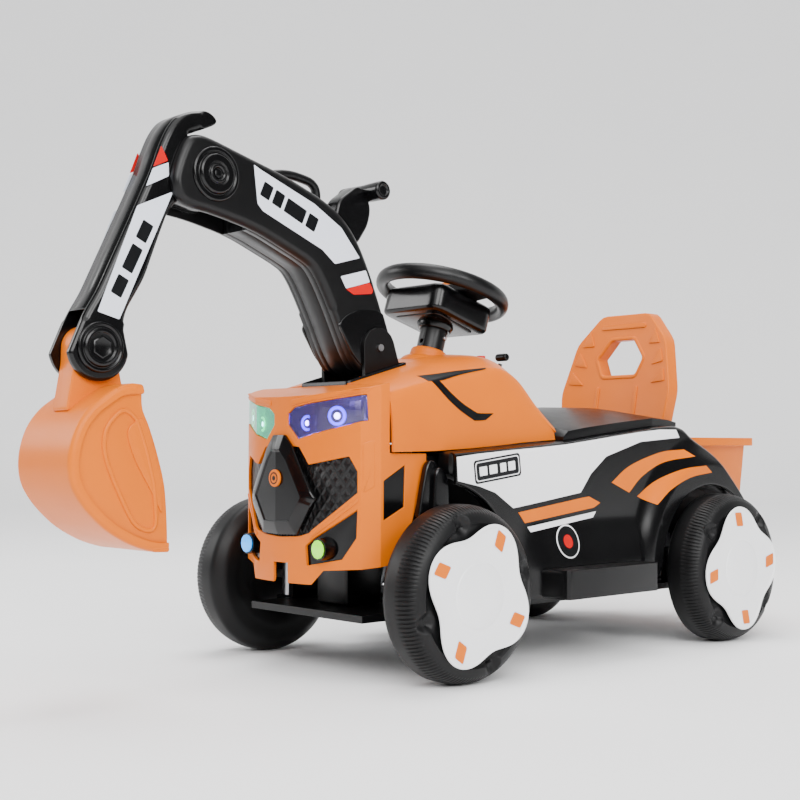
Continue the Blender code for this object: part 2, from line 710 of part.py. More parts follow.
def build_front(root, finishes):
    """The orange front frame with its lamps, grille, shield, emblem and side vents."""
    side_shape = [(-0.140, 0.2955), (-0.0472, 0.3165), (-0.0472, 0.2415), (0.006, 0.2410), (0.006, 0.231)]
    side_shape += [(-0.0148, 0.168), (-0.045, 0.123), (-0.0975, 0.1165), (-0.104, 0.101), (-0.140, 0.098)]
    plan = [(x, front_y(x)) for x in FRONT_X if abs(x) < FASCIA_HALF]
    plan = [(-FASCIA_HALF, 0.02), (-FASCIA_HALF, front_y(FASCIA_HALF))] + plan
    plan += [(FASCIA_HALF, front_y(FASCIA_HALF)), (FASCIA_HALF, 0.02)]
    fascia = place("front_fascia", prism_z(plan, 0.09, 0.33), finishes["orange"], root)
    change(fascia, prism_x(side_shape, -0.13, 0.13), "INTERSECT")
    room = FASCIA_HALF - WALL
    inner_plan = [(x, front_y(x) + WALL) for x in FRONT_X if abs(x) < 0.105]
    inner_plan = [(-room, 0.05), (-room, -0.055)] + inner_plan + [(room, -0.055), (room, 0.05)]
    hollow = place("front_fascia_room", prism_z(inner_plan, 0.05, 0.33), None, root)
    roof = [(-0.150, 0.2905), (-0.0400, 0.3130), (0.06, 0.3130), (0.06, 0.05), (-0.150, 0.05)]
    change(hollow, prism_x(roof, -0.13, 0.13), "INTERSECT")
    step = fascia.modifiers.new("hollow", "BOOLEAN")
    step.operation = "DIFFERENCE"
    step.object = hollow
    step.solver = "EXACT"
    cut(fascia, prism_y(grille_outline(), -0.2, -0.02))
    cut(fascia, block((-0.0125, 0.0125), (-0.15, -0.07), (0.08, 0.1225)))
    front_insert("grille_panel", grown(grille_outline(), 0.003), WALL + GAP, WALL + 0.004, finishes["black"], root)
    shield = [(0.0, 0.153), (0.030, 0.154), (0.056, 0.192), (0.024, 0.246), (0.010, 0.261), (0.0, 0.261)]
    shield = shield + [(-x, z) for x, z in reversed(shield[1:-1])]
    plaque = front_insert("grille_shield", shield, -SHIELD_DEPTH, -GAP, finishes["black"], root)
    pocket = front_y(0) - SHIELD_DEPTH + 0.0035
    cut(plaque, rod((0, pocket - 0.01, 0.214), (0, pocket, 0.214), 0.0095 + GAP, 24))
    disc = rod((0, pocket - GAP - 0.0026, 0.214), (0, pocket - GAP, 0.214), 0.0095, 24)
    place("emblem_disc", disc, finishes["orange"], root)
    for side, name in ((1, "left"), (-1, "right")):
        lamp = headlamp_outline(side)
        cut(fascia, prism_y(lamp, -0.2, -0.055))
        front_insert("headlamp_housing_" + name, grown(lamp, -0.0006), 0.0044, 0.014, finishes["steel"], root)
        lens_finish = finishes["smoke" if side > 0 else "teal"]
        front_insert("headlamp_lens_" + name, grown(lamp, -0.0006), 0.0010, 0.0038, lens_finish, root)
        recess = fog_outline(side)
        cut(fascia, prism_y(recess, -0.2, -0.055))
        bezel = front_insert(
            "fog_bezel_" + name, grown(recess, 0.0025), WALL + GAP, WALL + 0.003, finishes["black"], root
        )
        x, y = side * 0.0635, front_y(0.0635)
        join(bezel, rod((x, y + WALL + 0.002, 0.1395), (x, y - 0.0085, 0.1395), 0.0118, 24))
        place(
            "fog_lamp_lens_" + name,
            rod((x, y - 0.0120, 0.1395), (x, y - 0.0089, 0.1395), 0.0100, 24),
            finishes["green" if side > 0 else "blue"],
            root,
        )
        vent = [(-0.056, 0.170), (-0.027, 0.1835), (-0.0255, 0.2285), (-0.056, 0.212)]
        through = sorted((side * 0.10, side * 0.13))
        cut(fascia, prism_x(vent, *through))
        place(
            "side_vent_" + name,
            prism_x(grown(vent, -0.0005), *sorted((side * (FASCIA_HALF - 0.0030), side * (FASCIA_HALF - 0.0008)))),
            finishes["black"],
            root,
        )


# ---------------------------------------------------------------- arm


def boom_outline():
    """The boom's side: straight upper arm, a knee, and a leg that ends round its pivot."""
    knuckle = arc(BOOM_PIVOT, BOOM_FOOT_RADIUS, 170, 355, 12)
    rear = [(0.0255, 0.375), (0.013, 0.407), (-0.004, 0.448), (-0.023, 0.483), (-0.045, 0.506), (-0.071, 0.521)]
    top = [(-0.123, 0.540), (-0.172, 0.553), (-0.226, 0.5685)]
    nose = [(-0.243, 0.567), (-0.257, 0.556), (-0.265, 0.536), (-0.266, 0.515), (-0.257, 0.495), (-0.240, 0.488)]
    under = [(-0.162, 0.476), (-0.096, 0.450), (-0.076, 0.425), (-0.052, 0.385)]
    return knuckle + rear + top + nose + under


def build_boom(root, group, finishes):
    """The bracket on the hood, the boom, its grab handle, and the pins and caps at both ends."""
    y, z = BOOM_PIVOT
    cheek_in, cheek_out = BOOM_HALF + GAP * 2, BOOM_HALF + 0.0055
    cheek = [(y - 0.021, 0.302), (y + 0.031, 0.302), (y + 0.031, 0.340)] + arc(BOOM_PIVOT, 0.023, 20, 180, 8)
    bracket = place(
        "boom_bracket",
        block((-cheek_out, cheek_out), (y - 0.042, y + 0.034), (0.3000, 0.3215)),
        finishes["black"],
        root,
    )
    for side in (-1, 1):
        join(bracket, prism_x(cheek, *sorted((side * cheek_in, side * cheek_out))))
    cut(bracket, rod((-0.06, y, z), (0.06, y, z), PIN_RADIUS + GAP, 16))
    boom = place("boom", prism_x(boom_outline(), -BOOM_HALF, BOOM_HALF), finishes["black"], group)
    soften(boom, 0.009, 3, 50)
    cut(boom, rod((-0.06, y, z), (0.06, y, z), PIN_RADIUS + PLAY / 2, 16))
    slot = DIPPER_HALF + PLAY
    cut(boom, block((-slot, slot), (ELBOW[0] - 0.070, ELBOW[0] + 0.047), (0.44, 0.60)))
    cut(boom, rod((-0.06, *ELBOW), (0.06, *ELBOW), PIN_RADIUS + GAP, 16))
    lever_slot = [(-0.055, 0.455), (-0.006, 0.430), (0.030, 0.500), (-0.040, 0.560), (-0.062, 0.500)]
    cut(boom, prism_x(lever_slot, -0.0135, 0.0135))
    cut(boom, rod((-0.020, *LEVER_PIVOT), (0.020, *LEVER_PIVOT), 0.003 + PLAY / 2, 12))
    place(
        "boom_base_bolt",
        rod((-cheek_out - 0.003, y, z), (cheek_out + 0.003, y, z), PIN_RADIUS, 16),
        finishes["steel"],
        root,
    )
    for side, name in ((1, "left"), (-1, "right")):
        face = BOOM_HALF + GAP
        cap = [(face, 0.0), (face, 0.0275), (face + 0.0030, 0.0285), (face + 0.0060, 0.0240), (face + 0.0035, 0.0180)]
        cap += [(face + 0.0070, 0.0120), (face + 0.0070, 0.0)]
        piece = "elbow_pin" if side > 0 else "elbow_cap"
        place(piece, solid_turned([(side * s, r) for s, r in cap], ELBOW), finishes["black"], group)
    join(bpy.data.objects["elbow_pin"], rod((-BOOM_HALF, *ELBOW), (BOOM_HALF + 0.003, *ELBOW), PIN_RADIUS, 16))
    route = [(-0.118, 0.5290), (-0.112, 0.5440), (-0.100, 0.5525), (-0.080, 0.5545), (-0.060, 0.5520)]
    route += [(-0.047, 0.5490), (-0.041, 0.5400), (-0.043, 0.5240), (-0.046, 0.5100)]
    handle = place("grab_handle", tube([(-0.022, *p) for p in route], 0.0052), finishes["black"], group)
    clearance = [(p[0], p[1]) for p in grown(boom_outline(), GAP)]
    cut(handle, prism_x(clearance, -BOOM_HALF, BOOM_HALF))


def solid_turned(profile, axle):
    """A profile that starts and ends on the x axis line through axle, turned into a solid."""
    steps = 28
    vertices = [(profile[0][0], *axle), (profile[-1][0], *axle)]
    rings = profile[1:-1]
    faces = []
    for s, r in rings:
        vertices += [(s, y, z) for y, z in circle(axle, r, steps)]
    for i in range(steps):
        j = (i + 1) % steps
        faces.append((0, 2 + i, 2 + j))
        last = 2 + (len(rings) - 1) * steps
        faces.append((1, last + j, last + i))
        for k in range(len(rings) - 1):
            a, b = 2 + k * steps, 2 + (k + 1) * steps
            faces.append((a + i, b + i, b + j, a + j))
    return mesh_from(vertices, faces)


def build_lever(group, finishes):
    """The hand lever on the boom: a wedge with a cross grip at its top."""
    foot = arc(LEVER_PIVOT, 0.012, 190, 350, 6)
    blade = foot + [(-0.004, 0.487), (0.012, 0.524), (0.006, 0.540), (-0.006, 0.547), (-0.034, 0.527)]
    lever = place("control_lever", prism_x(blade, -0.012, 0.012), finishes["black"], group)
    grip = (0.012, 0.541)
    join(lever, rod((-0.036, *grip), (0.036, *grip), 0.0112, 16))
    join(lever, rod((-0.0190, *LEVER_PIVOT), (0.0190, *LEVER_PIVOT), 0.003, 12))


def build_dipper(group, bucket_group, finishes):
    """The dipper with its hooked top and forked foot, the bucket's pin with its caps, and the bucket."""
    front = [(-0.366, 0.360), (-0.3584, 0.377), (-0.3445, 0.399), (-0.325, 0.440), (-0.304, 0.484), (-0.284, 0.527)]
    hook = [(-0.2666, 0.570), (-0.256, 0.5845), (-0.240, 0.5925), (-0.2225, 0.5960), (-0.212, 0.592), (-0.206, 0.584)]
    heel = [(-0.226, 0.5745), (-0.245, 0.568)]
    eye = arc(ELBOW, 0.0345, 115, -110, 10)
    rear = [(-0.262, 0.490), (-0.2775, 0.454), (-0.2921, 0.415), (-0.3135, 0.380), (-0.318, 0.360)]
    foot = arc(BUCKET_PIVOT, 0.0330, -10, -170, 8)
    outline = front + hook + heel + eye + rear + foot
    dipper = place("dipper", prism_x(outline, -DIPPER_HALF, DIPPER_HALF), finishes["black"], group)
    soften(dipper, 0.005, 2, 50)
    fork = NECK_HALF + PLAY
    y, z = BUCKET_PIVOT
    cut(dipper, block((-fork, fork), (y - 0.05, y + 0.05), (z - 0.05, z + 0.0365)))
    cut(dipper, rod((-0.06, *ELBOW), (0.06, *ELBOW), PIN_RADIUS + PLAY / 2, 16))
    cut(dipper, rod((-0.06, *BUCKET_PIVOT), (0.06, *BUCKET_PIVOT), PIN_RADIUS + GAP, 16))
    for side, name in ((1, "left"), (-1, "right")):
        face = DIPPER_HALF + GAP
        cap = [(face, 0.0), (face, 0.0250), (face + 0.0022, 0.0250), (face + 0.0040, 0.0200), (face + 0.0026, 0.0130)]
        cap += [(face + 0.0050, 0.0080), (face + 0.0050, 0.0)]
        piece = "bucket_pin" if side > 0 else "bucket_pin_cap"
        place(piece, solid_turned([(side * s, r) for s, r in cap], BUCKET_PIVOT), finishes["black"], group)
    join(bpy.data.objects["bucket_pin"], rod((-DIPPER_HALF, y, z), (DIPPER_HALF + 0.002, y, z), PIN_RADIUS, 16))

    back = [(-0.345, 0.302), (-0.356, 0.295), (-0.369, 0.285), (-0.381, 0.270), (-0.390, 0.251), (-0.392, 0.232)]
    back += [(-0.389, 0.214), (-0.380, 0.198), (-0.366, 0.182), (-0.348, 0.167), (-0.324, 0.154), (-0.300, 0.1465)]
    lip = [(-0.284, 0.1455), (-0.282, 0.149), (-0.289, 0.153)]
    mouth = [(-0.282, 0.178), (-0.286, 0.211), (-0.294, 0.241), (-0.304, 0.270), (-0.311, 0.284), (-0.310, 0.304)]
    crest = [(-0.322, 0.308)]
    bucket = place("bucket", prism_x(back + lip + mouth + crest, -BUCKET_HALF, BUCKET_HALF), finishes["orange"], bucket_group)
    inside_back = grown(back + lip + mouth + crest, -WALL)[: len(back)]
    opening = [(-0.292, 0.1525), (-0.270, 0.1530), (-0.270, 0.290), (-0.302, 0.290), (-0.318, 0.3035)]
    cavity = inside_back + opening
    cut(bucket, prism_x(cavity, -BUCKET_HALF + WALL, BUCKET_HALF - WALL))
    neck = [(-0.369, 0.2870), (-0.3655, 0.330)] + arc(BUCKET_PIVOT, 0.0225, 165, 0, 8) + [(-0.316, 0.321)]
    neck += [(-0.312, 0.306), (-0.330, 0.3055)]
    join(bucket, prism_x(neck, -NECK_HALF, NECK_HALF))
    cut(bucket, rod((-0.05, *BUCKET_PIVOT), (0.05, *BUCKET_PIVOT), PIN_RADIUS + PLAY / 2, 16))


def build_pedal(group, finishes):
    """The drive pedal, hinged at its rear edge above the right running board."""
    plate = [(0.240, 0.1100), (0.240, 0.1150), (0.176, 0.1275), (0.172, 0.1240), (0.174, 0.1190)]
    pedal = place("foot_pedal", prism_x(plate, -0.178, -0.146), finishes["black"], group)
    soften(pedal, 0.001, 1)


def main():
    """Make the groups on their joint axes, then every piece on its group."""
    clear_scene()
    finishes = {
        "orange": make_material("orange_plastic", ORANGE, 0.28),
        "black": make_material("black_plastic", BLACK, 0.38),
        "white": make_material("white_plastic", WHITE, 0.30),
        "steel": make_material("zinc_steel", STEEL, 0.35, 1.0),
        "smoke": make_material("violet_lens", SMOKE, 0.08),
        "teal": make_material("teal_lens", (0.05, 0.55, 0.35), 0.08),
        "green": make_material("green_lens", GREEN, 0.08),
        "blue": make_material("blue_lens", BLUE, 0.08),
    }
    root = pivot("vehicle", 0.0, (0.0, 0.0))
    groups = {"root": root}
    for side, name in ((1, "left"), (-1, "right")):
        groups["knuckle_" + name] = pivot("knuckle_pivot_" + name, side * KINGPIN_X, FRONT_AXLE, root)
    groups["tie_rod"] = pivot("tie_rod_place", 0.0, (TIE_ROD_Y, TIE_ROD_LOW), root)
    groups["steering"] = pivot("steering_pivot", 0.0, WHEEL_CENTRE, root)
    for name, x in (("horn", 0.0), ("music_button_left", 0.036), ("music_button_right", -0.036)):
        groups[name] = pivot(name + "_place", x, WHEEL_CENTRE, groups["steering"])
    boom = pivot("boom_pivot", 0.0, BOOM_PIVOT, root)
    lever = pivot("lever_pivot", 0.0, LEVER_PIVOT, boom)
    dipper = pivot("elbow_pivot", 0.0, ELBOW, boom)
    bucket = pivot("bucket_pivot", 0.0, BUCKET_PIVOT, dipper)
    seat = pivot("seat_pivot", 0.0, SEAT_HINGE, root)
    groups["drive_lever"] = pivot("drive_lever_pivot", LEVER_FOOT[0], LEVER_FOOT[1:], root)
    groups["power_switch"] = pivot("power_switch_place", SWITCH_FOOT[0], SWITCH_FOOT[1:], root)
    pedal = pivot("pedal_pivot", -0.162, PEDAL_HINGE, root)
    wheels = {
        "front_left": (groups["knuckle_left"], 1, FRONT_AXLE, math.radians(62)),
        "front_right": (groups["knuckle_right"], -1, FRONT_AXLE, math.radians(62)),
        "rear_left": (pivot("rear_wheel_left", 0.0, REAR_AXLE, root), 1, REAR_AXLE, 0.0),
        "rear_right": (pivot("rear_wheel_right", 0.0, REAR_AXLE, root), -1, REAR_AXLE, 0.0),
    }
    build_wheels(wheels, finishes)
    build_chassis(root, finishes)
    build_steering(groups, finishes)
    build_body(root, seat, finishes)
    build_seat_back(root, finishes)
    build_bin(root, finishes)
    build_hood(root, groups, finishes)
    build_front(root, finishes)
    build_boom(root, boom, finishes)
    build_lever(lever, finishes)
    build_dipper(dipper, bucket, finishes)
    build_pedal(pedal, finishes)
    root.location = Vector((0.0, (FRONT_REACH - REAR_REACH) / 2, 0.0))


main()
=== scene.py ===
"""Looks of a child's ride-on toy excavator, built round its packed mechanical model.

Every size is in metres. Shapes are drawn in the vehicle's own coordinates, with y measured from the
front axle and z from the floor, the front towards -Y and the vehicle's left side towards +X, and are
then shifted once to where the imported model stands.
"""

from __future__ import annotations

import logging
import math
from collections.abc import Callable, Sequence
from dataclasses import dataclass
from enum import Enum

import bmesh
import bpy
import numpy as np
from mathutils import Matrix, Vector


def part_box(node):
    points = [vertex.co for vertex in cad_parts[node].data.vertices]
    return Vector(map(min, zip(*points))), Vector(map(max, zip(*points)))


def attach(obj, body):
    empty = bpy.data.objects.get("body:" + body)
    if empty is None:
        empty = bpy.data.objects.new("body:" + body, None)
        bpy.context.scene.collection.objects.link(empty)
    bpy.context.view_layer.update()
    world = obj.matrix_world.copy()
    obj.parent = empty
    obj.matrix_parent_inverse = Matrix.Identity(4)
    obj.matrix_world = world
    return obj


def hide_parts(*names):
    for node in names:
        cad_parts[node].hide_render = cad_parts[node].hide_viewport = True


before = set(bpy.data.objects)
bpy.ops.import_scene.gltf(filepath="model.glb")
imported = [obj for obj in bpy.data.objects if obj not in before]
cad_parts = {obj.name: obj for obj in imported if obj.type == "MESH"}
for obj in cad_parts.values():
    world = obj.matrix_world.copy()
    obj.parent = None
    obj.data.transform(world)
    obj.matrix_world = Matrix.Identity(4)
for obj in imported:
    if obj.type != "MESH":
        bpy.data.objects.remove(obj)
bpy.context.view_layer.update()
LOG = logging.getLogger("toy_excavator")
Points = Sequence[Sequence[float]] | np.ndarray
MERGE_DISTANCE = 1e-6
SIDES = ((1, "left"), (-1, "right"))


def front_axle_shift() -> np.ndarray:
    """Where the vehicle's own origin, on the floor under the front axle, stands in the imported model.

    Returns:
        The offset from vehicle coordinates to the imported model's coordinates.
    """
    low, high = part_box("wheel_front_left")
    return np.array([0.0, (low.y + high.y) / 2, 0.0])


SHIFT = front_axle_shift()


class Axis(Enum):
    """The direction a flat outline is carried along; the value orders (u, v, along) as x, y, z."""

    X = (2, 0, 1)
    Y = (0, 2, 1)
    Z = (0, 1, 2)

    def place(self, u: np.ndarray, v: np.ndarray, along: np.ndarray) -> np.ndarray:
        """Stack an outline's two numbers and its height along the axis into x, y, z."""
        parts = (u, v, along)
        return np.stack([parts[i] for i in self.value], -1)


class Slot(Enum):
    """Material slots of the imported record."""

    ORANGE = "orange_plastic"
    BLACK = "black_plastic"
    WHEEL = "wheel_plastic"
    WHITE = "white_plastic"
    STEEL = "zinc_steel"
    LAMP = "lamp_housing"
    VIOLET = "violet_lens"
    TEAL = "teal_lens"
    GREEN = "green_lens"
    BLUE = "blue_lens"
    BATTERY = "battery_case"


# ---------------------------------------------------------------- curves


def polar(centre: tuple[float, float], radius: float, start: float, end: float, steps: int) -> np.ndarray:
    """Points along an arc: the centre plus the radius times cosine and sine of evenly spaced angles.

    Args:
        centre: The arc's centre.
        radius: Its radius.
        start: First angle, in degrees.
        end: Last angle, in degrees.
        steps: Number of spaces between points.

    Returns:
        An array of steps + 1 points.
    """
    angle = np.radians(np.linspace(start, end, steps + 1))
    return np.stack([centre[0] + radius * np.cos(angle), centre[1] + radius * np.sin(angle)], -1)


def rounded(points: Points, radius: float, steps: int = 5, closed: bool = True) -> np.ndarray:
    """Each corner replaced by the quadratic curve between the points one radius before and after it.

    Args:
        points: Corners of an outline.
        radius: Reach of each curve, cut short where a side is short.
        steps: Spaces between the points of each curve.
        closed: Whether the last corner joins the first.

    Returns:
        The outline's points.
    """
    corner = np.asarray(points, float)
    before, after = np.roll(corner, 1, 0), np.roll(corner, -1, 0)

    def reach(other: np.ndarray) -> np.ndarray:
        """The point on the way to the other corner where the curve starts."""
        step = other - corner
        length = np.linalg.norm(step, axis=-1, keepdims=True)
        return corner + step * np.minimum(radius / np.maximum(length, 1e-9), 0.48)

    t = np.linspace(0, 1, steps + 1)[None, :, None]
    curve = reach(before)[:, None] * (1 - t) ** 2 + corner[:, None] * 2 * t * (1
            - t) + reach(after)[:, None] * t**2
    if closed:
        return curve.reshape(-1, corner.shape[-1])
    return np.concatenate([corner[:1], curve[1:-1].reshape(-1, corner.shape[-1]), corner[-1:]])


def resampled(points: np.ndarray, count: int, closed: bool = False) -> np.ndarray:
    """The same line with points at equal distances along it, by linear interpolation on its length."""
    line = np.concatenate([points, points[:1]]) if closed else points
    length = np.concatenate([[0], np.cumsum(np.linalg.norm(np.diff(line, axis=0), axis=1))])
    places = np.linspace(0, length[-1], count + 1)[:-1] if closed else np.linspace(0, length[-1], count)
    return np.stack([np.interp(places, length, line[:, i]) for i in range(line.shape[1])], -1)


def smooth(points: Points, per_span: int = 8, closed: bool = False) -> np.ndarray:
    """A Catmull-Rom curve: each span is the cubic whose slopes are half the step between its neighbours.

    Args:
        points: Points that the curve passes through.
        per_span: Spaces between two of them.
        closed: Whether the last point joins the first.

    Returns:
        The curve's points.
    """
    given = np.asarray(points, float)
    if closed:
        whole = np.concatenate([given[-1:], given, given[:2]])
    else:
        whole = np.concatenate([2 * given[:1] - given[1:2], given, 2 * given[-1:] - given[-2:-1]])
    a, b, c, d = (whole[i : len(whole) - 3 + i][:, None] for i in range(4))
    t = np.linspace(0, 1, per_span, endpoint=False)[None, :, None]
    curve = b + 0.5 * t * (c - a + t * (2 * a - 5 * b + 4 * c - d + t * (3 * (b - c) + d - a)))
    curve = curve.reshape(-1, given.shape[1])
    return curve if closed else np.concatenate([curve, given[-1:]])


def signed_area(outline: np.ndarray) -> float:
    """Twice the area inside an outline, positive where it runs anticlockwise."""
    after = np.roll(outline, -1, 0)
    return float((outline[:, 0] * after[:, 1] - after[:, 0] * outline[:, 1]).sum())


def inset(outline: np.ndarray, distance: float | np.ndarray) -> np.ndarray:
    """The outline moved inwards: each point steps along the normal between its two neighbours.

    Args:
        outline: Closed outline.
        distance: How far, one number or one for each point; negative moves outwards.

    Returns:
        The moved outline.
    """
    along = np.roll(outline, -1, 0) - np.roll(outline, 1, 0)
    along = along / np.maximum(np.linalg.norm(along, axis=1, keepdims=True), 1e-12)
    inwards = np.stack([-along[:, 1], along[:, 0]], -1) * np.sign(signed_area(outline))
    return outline + inwards * np.reshape(distance, (-1, 1))


def mirrored_outline(half: Points) -> np.ndarray:
    """An outline symmetric about u = 0, from the points of its right half, bottom to top."""
    right = np.asarray(half, float)
    left = right[::-1][right[::-1, 0] > 1e-6] * (-1, 1)
    return np.concatenate([right, left])


def ease(value: np.ndarray) -> np.ndarray:
    """A smooth step: 3 v squared minus 2 v cubed, with v held between 0 and 1."""
    held = np.clip(value, 0, 1)
    return held * held * (3 - 2 * held)


# ---------------------------------------------------------------- skins


@dataclass(frozen=True)
class Skin:
    """Points in vehicle coordinates and the faces between them."""

    points: np.ndarray
    faces: list

    @staticmethod
    def grid(points: np.ndarray, wrap_rows: bool = False, wrap_columns: bool = True,
             caps: bool = True) -> "Skin":
        """A face for every square of a grid of points.

        Args:
            points: Array of rows, columns and x, y, z.
            wrap_rows: Whether the last row joins the first.
            wrap_columns: Whether the last column joins the first.
            caps: Whether the first and last rows are closed by a face.

        Returns:
            The skin.
        """
        rows, columns = points.shape[:2]
        r, c = np.meshgrid(
            np.arange(rows if wrap_rows else rows - 1),
            np.arange(columns if wrap_columns else columns - 1), indexing="ij"
        )
        below, right = (r + 1) % rows * columns, (c + 1) % columns
        squares = np.stack([r * columns + c, r * columns + right, below + right, below + c], -1)
        faces = squares.reshape(-1, 4).tolist()
        if caps and wrap_columns and not wrap_rows:
            faces += [list(range(columns))[::-1], list(range((rows - 1) * columns, rows * columns))]
        return Skin(points.reshape(-1, 3), faces)

    def __add__(self, other: "Skin") -> "Skin":
        """Both skins as one."""
        count = len(self.points)
        return Skin(
            np.concatenate([self.points, other.points]), self.faces
            + [[i + count for i in f] for f in other.faces]
        )

    def mirrored(self) -> "Skin":
        """The skin on the vehicle's other side."""
        return Skin(self.points * (-1, 1, 1), [f[::-1] for f in self.faces])

    def on_side(self, side: int) -> "Skin":
        """The skin as drawn for +X, or mirrored for -X."""
        return self if side > 0 else self.mirrored()

    def bent(self, change: Callable[[np.ndarray], np.ndarray]) -> "Skin":
        """The skin with its points passed through a function of the whole array."""
        return Skin(change(self.points), self.faces)


def plate(outline: np.ndarray, low: float, high: float, edge: float | np.ndarray = 0.001,
          axis: Axis = Axis.X, steps: int = 4, low_edge: float | np.ndarray | None = None) -> Skin:
    """An outline carried along an axis, with both rims rounded.

    On a rim the height rises by edge times one minus the sine of an angle while the outline is inset by
    edge times one minus its cosine, so that the rim is a quarter circle.

    Args:
        outline: Closed outline.
        low: Where it starts along the axis.
        high: Where it ends.
        edge: Rim radius, one number or one for each point of the outline.
        axis: Direction of the carry.
        steps: Rings on each rim.
        low_edge: Radius of the rim at the low end, where it differs.

    Returns:
        A closed skin.
    """
    edge = np.broadcast_to(np.asarray(edge, float), len(outline))
    first = edge if low_edge is None else np.broadcast_to(np.asarray(low_edge, float), len(outline))
    angle = np.linspace(np.pi / 2, 0, steps + 1)
    rise, pull = 1 - np.sin(angle), 1 - np.cos(angle)
    rings = [axis.place(*inset(outline, first * p).T, low + first * r) for r, p in zip(rise, pull)]
    rings += [axis.place(*inset(outline, edge * p).T, high - edge * r) for r,
              p in zip(rise[::-1], pull[::-1])]
    return Skin.grid(np.stack(rings))


def beyond(outline: np.ndarray, column: int, limit: float) -> np.ndarray:
    """The part of an outline whose u or v is above a limit, closed along the limit.

    Args:
        outline: Closed outline that crosses the limit twice.
        column: 0 for u, 1 for v.
        limit: The least value kept.

    Returns:
        The cut outline.
    """
    after = np.roll(outline, -1, 0)
    here, there = outline[:, column] > limit, after[:, column] > limit
    span = after[:, column] - outline[:, column]
    share = (limit - outline[:, column]) / np.where(np.abs(span) < 1e-12, 1, span)
    crossing = outline + (after - outline) * share[:, None]
    both = np.stack([outline, crossing], 1).reshape(-1, 2)
    return both[np.stack([here, here != there], 1).reshape(-1)]


def ring_basis(direction: Sequence[float]) -> tuple[np.ndarray, np.ndarray, np.ndarray]:
    """A direction of unit length and two others square to it."""
    along = np.asarray(direction, float) / np.linalg.norm(direction)
    helper = np.array([1.0, 0, 0]) if abs(along[0]) < 0.9 else np.array([0, 1.0, 0])
    first = np.cross(helper, along)
    first /= np.linalg.norm(first)
    return along, first, np.cross(along, first)


def turned(profile: Points, centre: Sequence[float], direction: Sequence[float] = (1, 0, 0),
           steps: int = 48, closed: bool = False) -> Skin:
    """A profile of (along, radius) turned round an axis: centre plus along times the axis plus the radius
    times cosine and sine of the turn.

    Args:
        profile: Points of the profile; radius 0 makes a pole.
        centre: A point of the axis.
        direction: The axis.
        steps: Columns round the axis.
        closed: Whether the profile's end joins its start, as on a ring.

    Returns:
        The skin.
    """
    along, first, second = ring_basis(direction)
    turn = np.linspace(0, 2 * np.pi, steps, endpoint=False)[None, :, None]
    s, r = (np.asarray(profile, float)[:, i][:, None, None] for i in (0, 1))
    points = np.asarray(centre) + s * along + r * (np.cos(turn) * first + np.sin(turn) * second)
    return Skin.grid(points, wrap_rows=closed, caps=not closed)


def hose(route: Points, radius: float | np.ndarray, steps: int = 16) -> Skin:
    """A round bar along a route: at each point a circle square to the way on.

    Args:
        route: Points of the middle line.
        radius: One number or one for each point.
        steps: Columns round it.

    Returns:
        A closed skin.
    """
    line = np.asarray(route, float)
    along = np.gradient(line, axis=0)
    along /= np.linalg.norm(along, axis=1, keepdims=True)
    first = np.cross(np.array([0.31, 0.2, 0.93]), along)
    first /= np.linalg.norm(first, axis=1, keepdims=True)
    second = np.cross(along, first)
    turn = np.linspace(0, 2 * np.pi, steps, endpoint=False)[None, :, None]
    size = np.broadcast_to(np.asarray(radius, float), len(line))[:, None, None]
    return Skin.grid(line[:, None] + size * (np.cos(turn) * first[:, None]
                                             + np.sin(turn) * second[:, None]))


# ---------------------------------------------------------------- finishes


def linear(code: str) -> tuple[float, float, float, float]:
    """An sRGB hex colour as the linear colour that shaders take."""
    value = np.array([int(code[i : i + 2], 16) for i in (1, 3, 5)]) / 255
    straight = np.where(value <= 0.04045, value / 12.92, ((value + 0.055) / 1.055) ** 2.4)
    return (*straight.tolist(), 1.0)


def add_node(tree: bpy.types.NodeTree, kind: str, settings: dict, links: dict) -> bpy.types.Node:
    """Add a node, set it and link it.

    Args:
        tree: The material's node tree.
        kind: The node's type name.
        settings: Inputs by their capitalised names, and properties by their lower-case names.
        links: Output sockets by the names or numbers of the inputs that they feed.

    Returns:
        The node.
    """
    node = tree.nodes.new(kind)
    for name, value in settings.items():
        if name[0].isupper():
            node.inputs[name].default_value = value
        else:
            setattr(node, name, value)
    for name, socket in links.items():
        tree.links.new(socket, node.inputs[name])
    return node


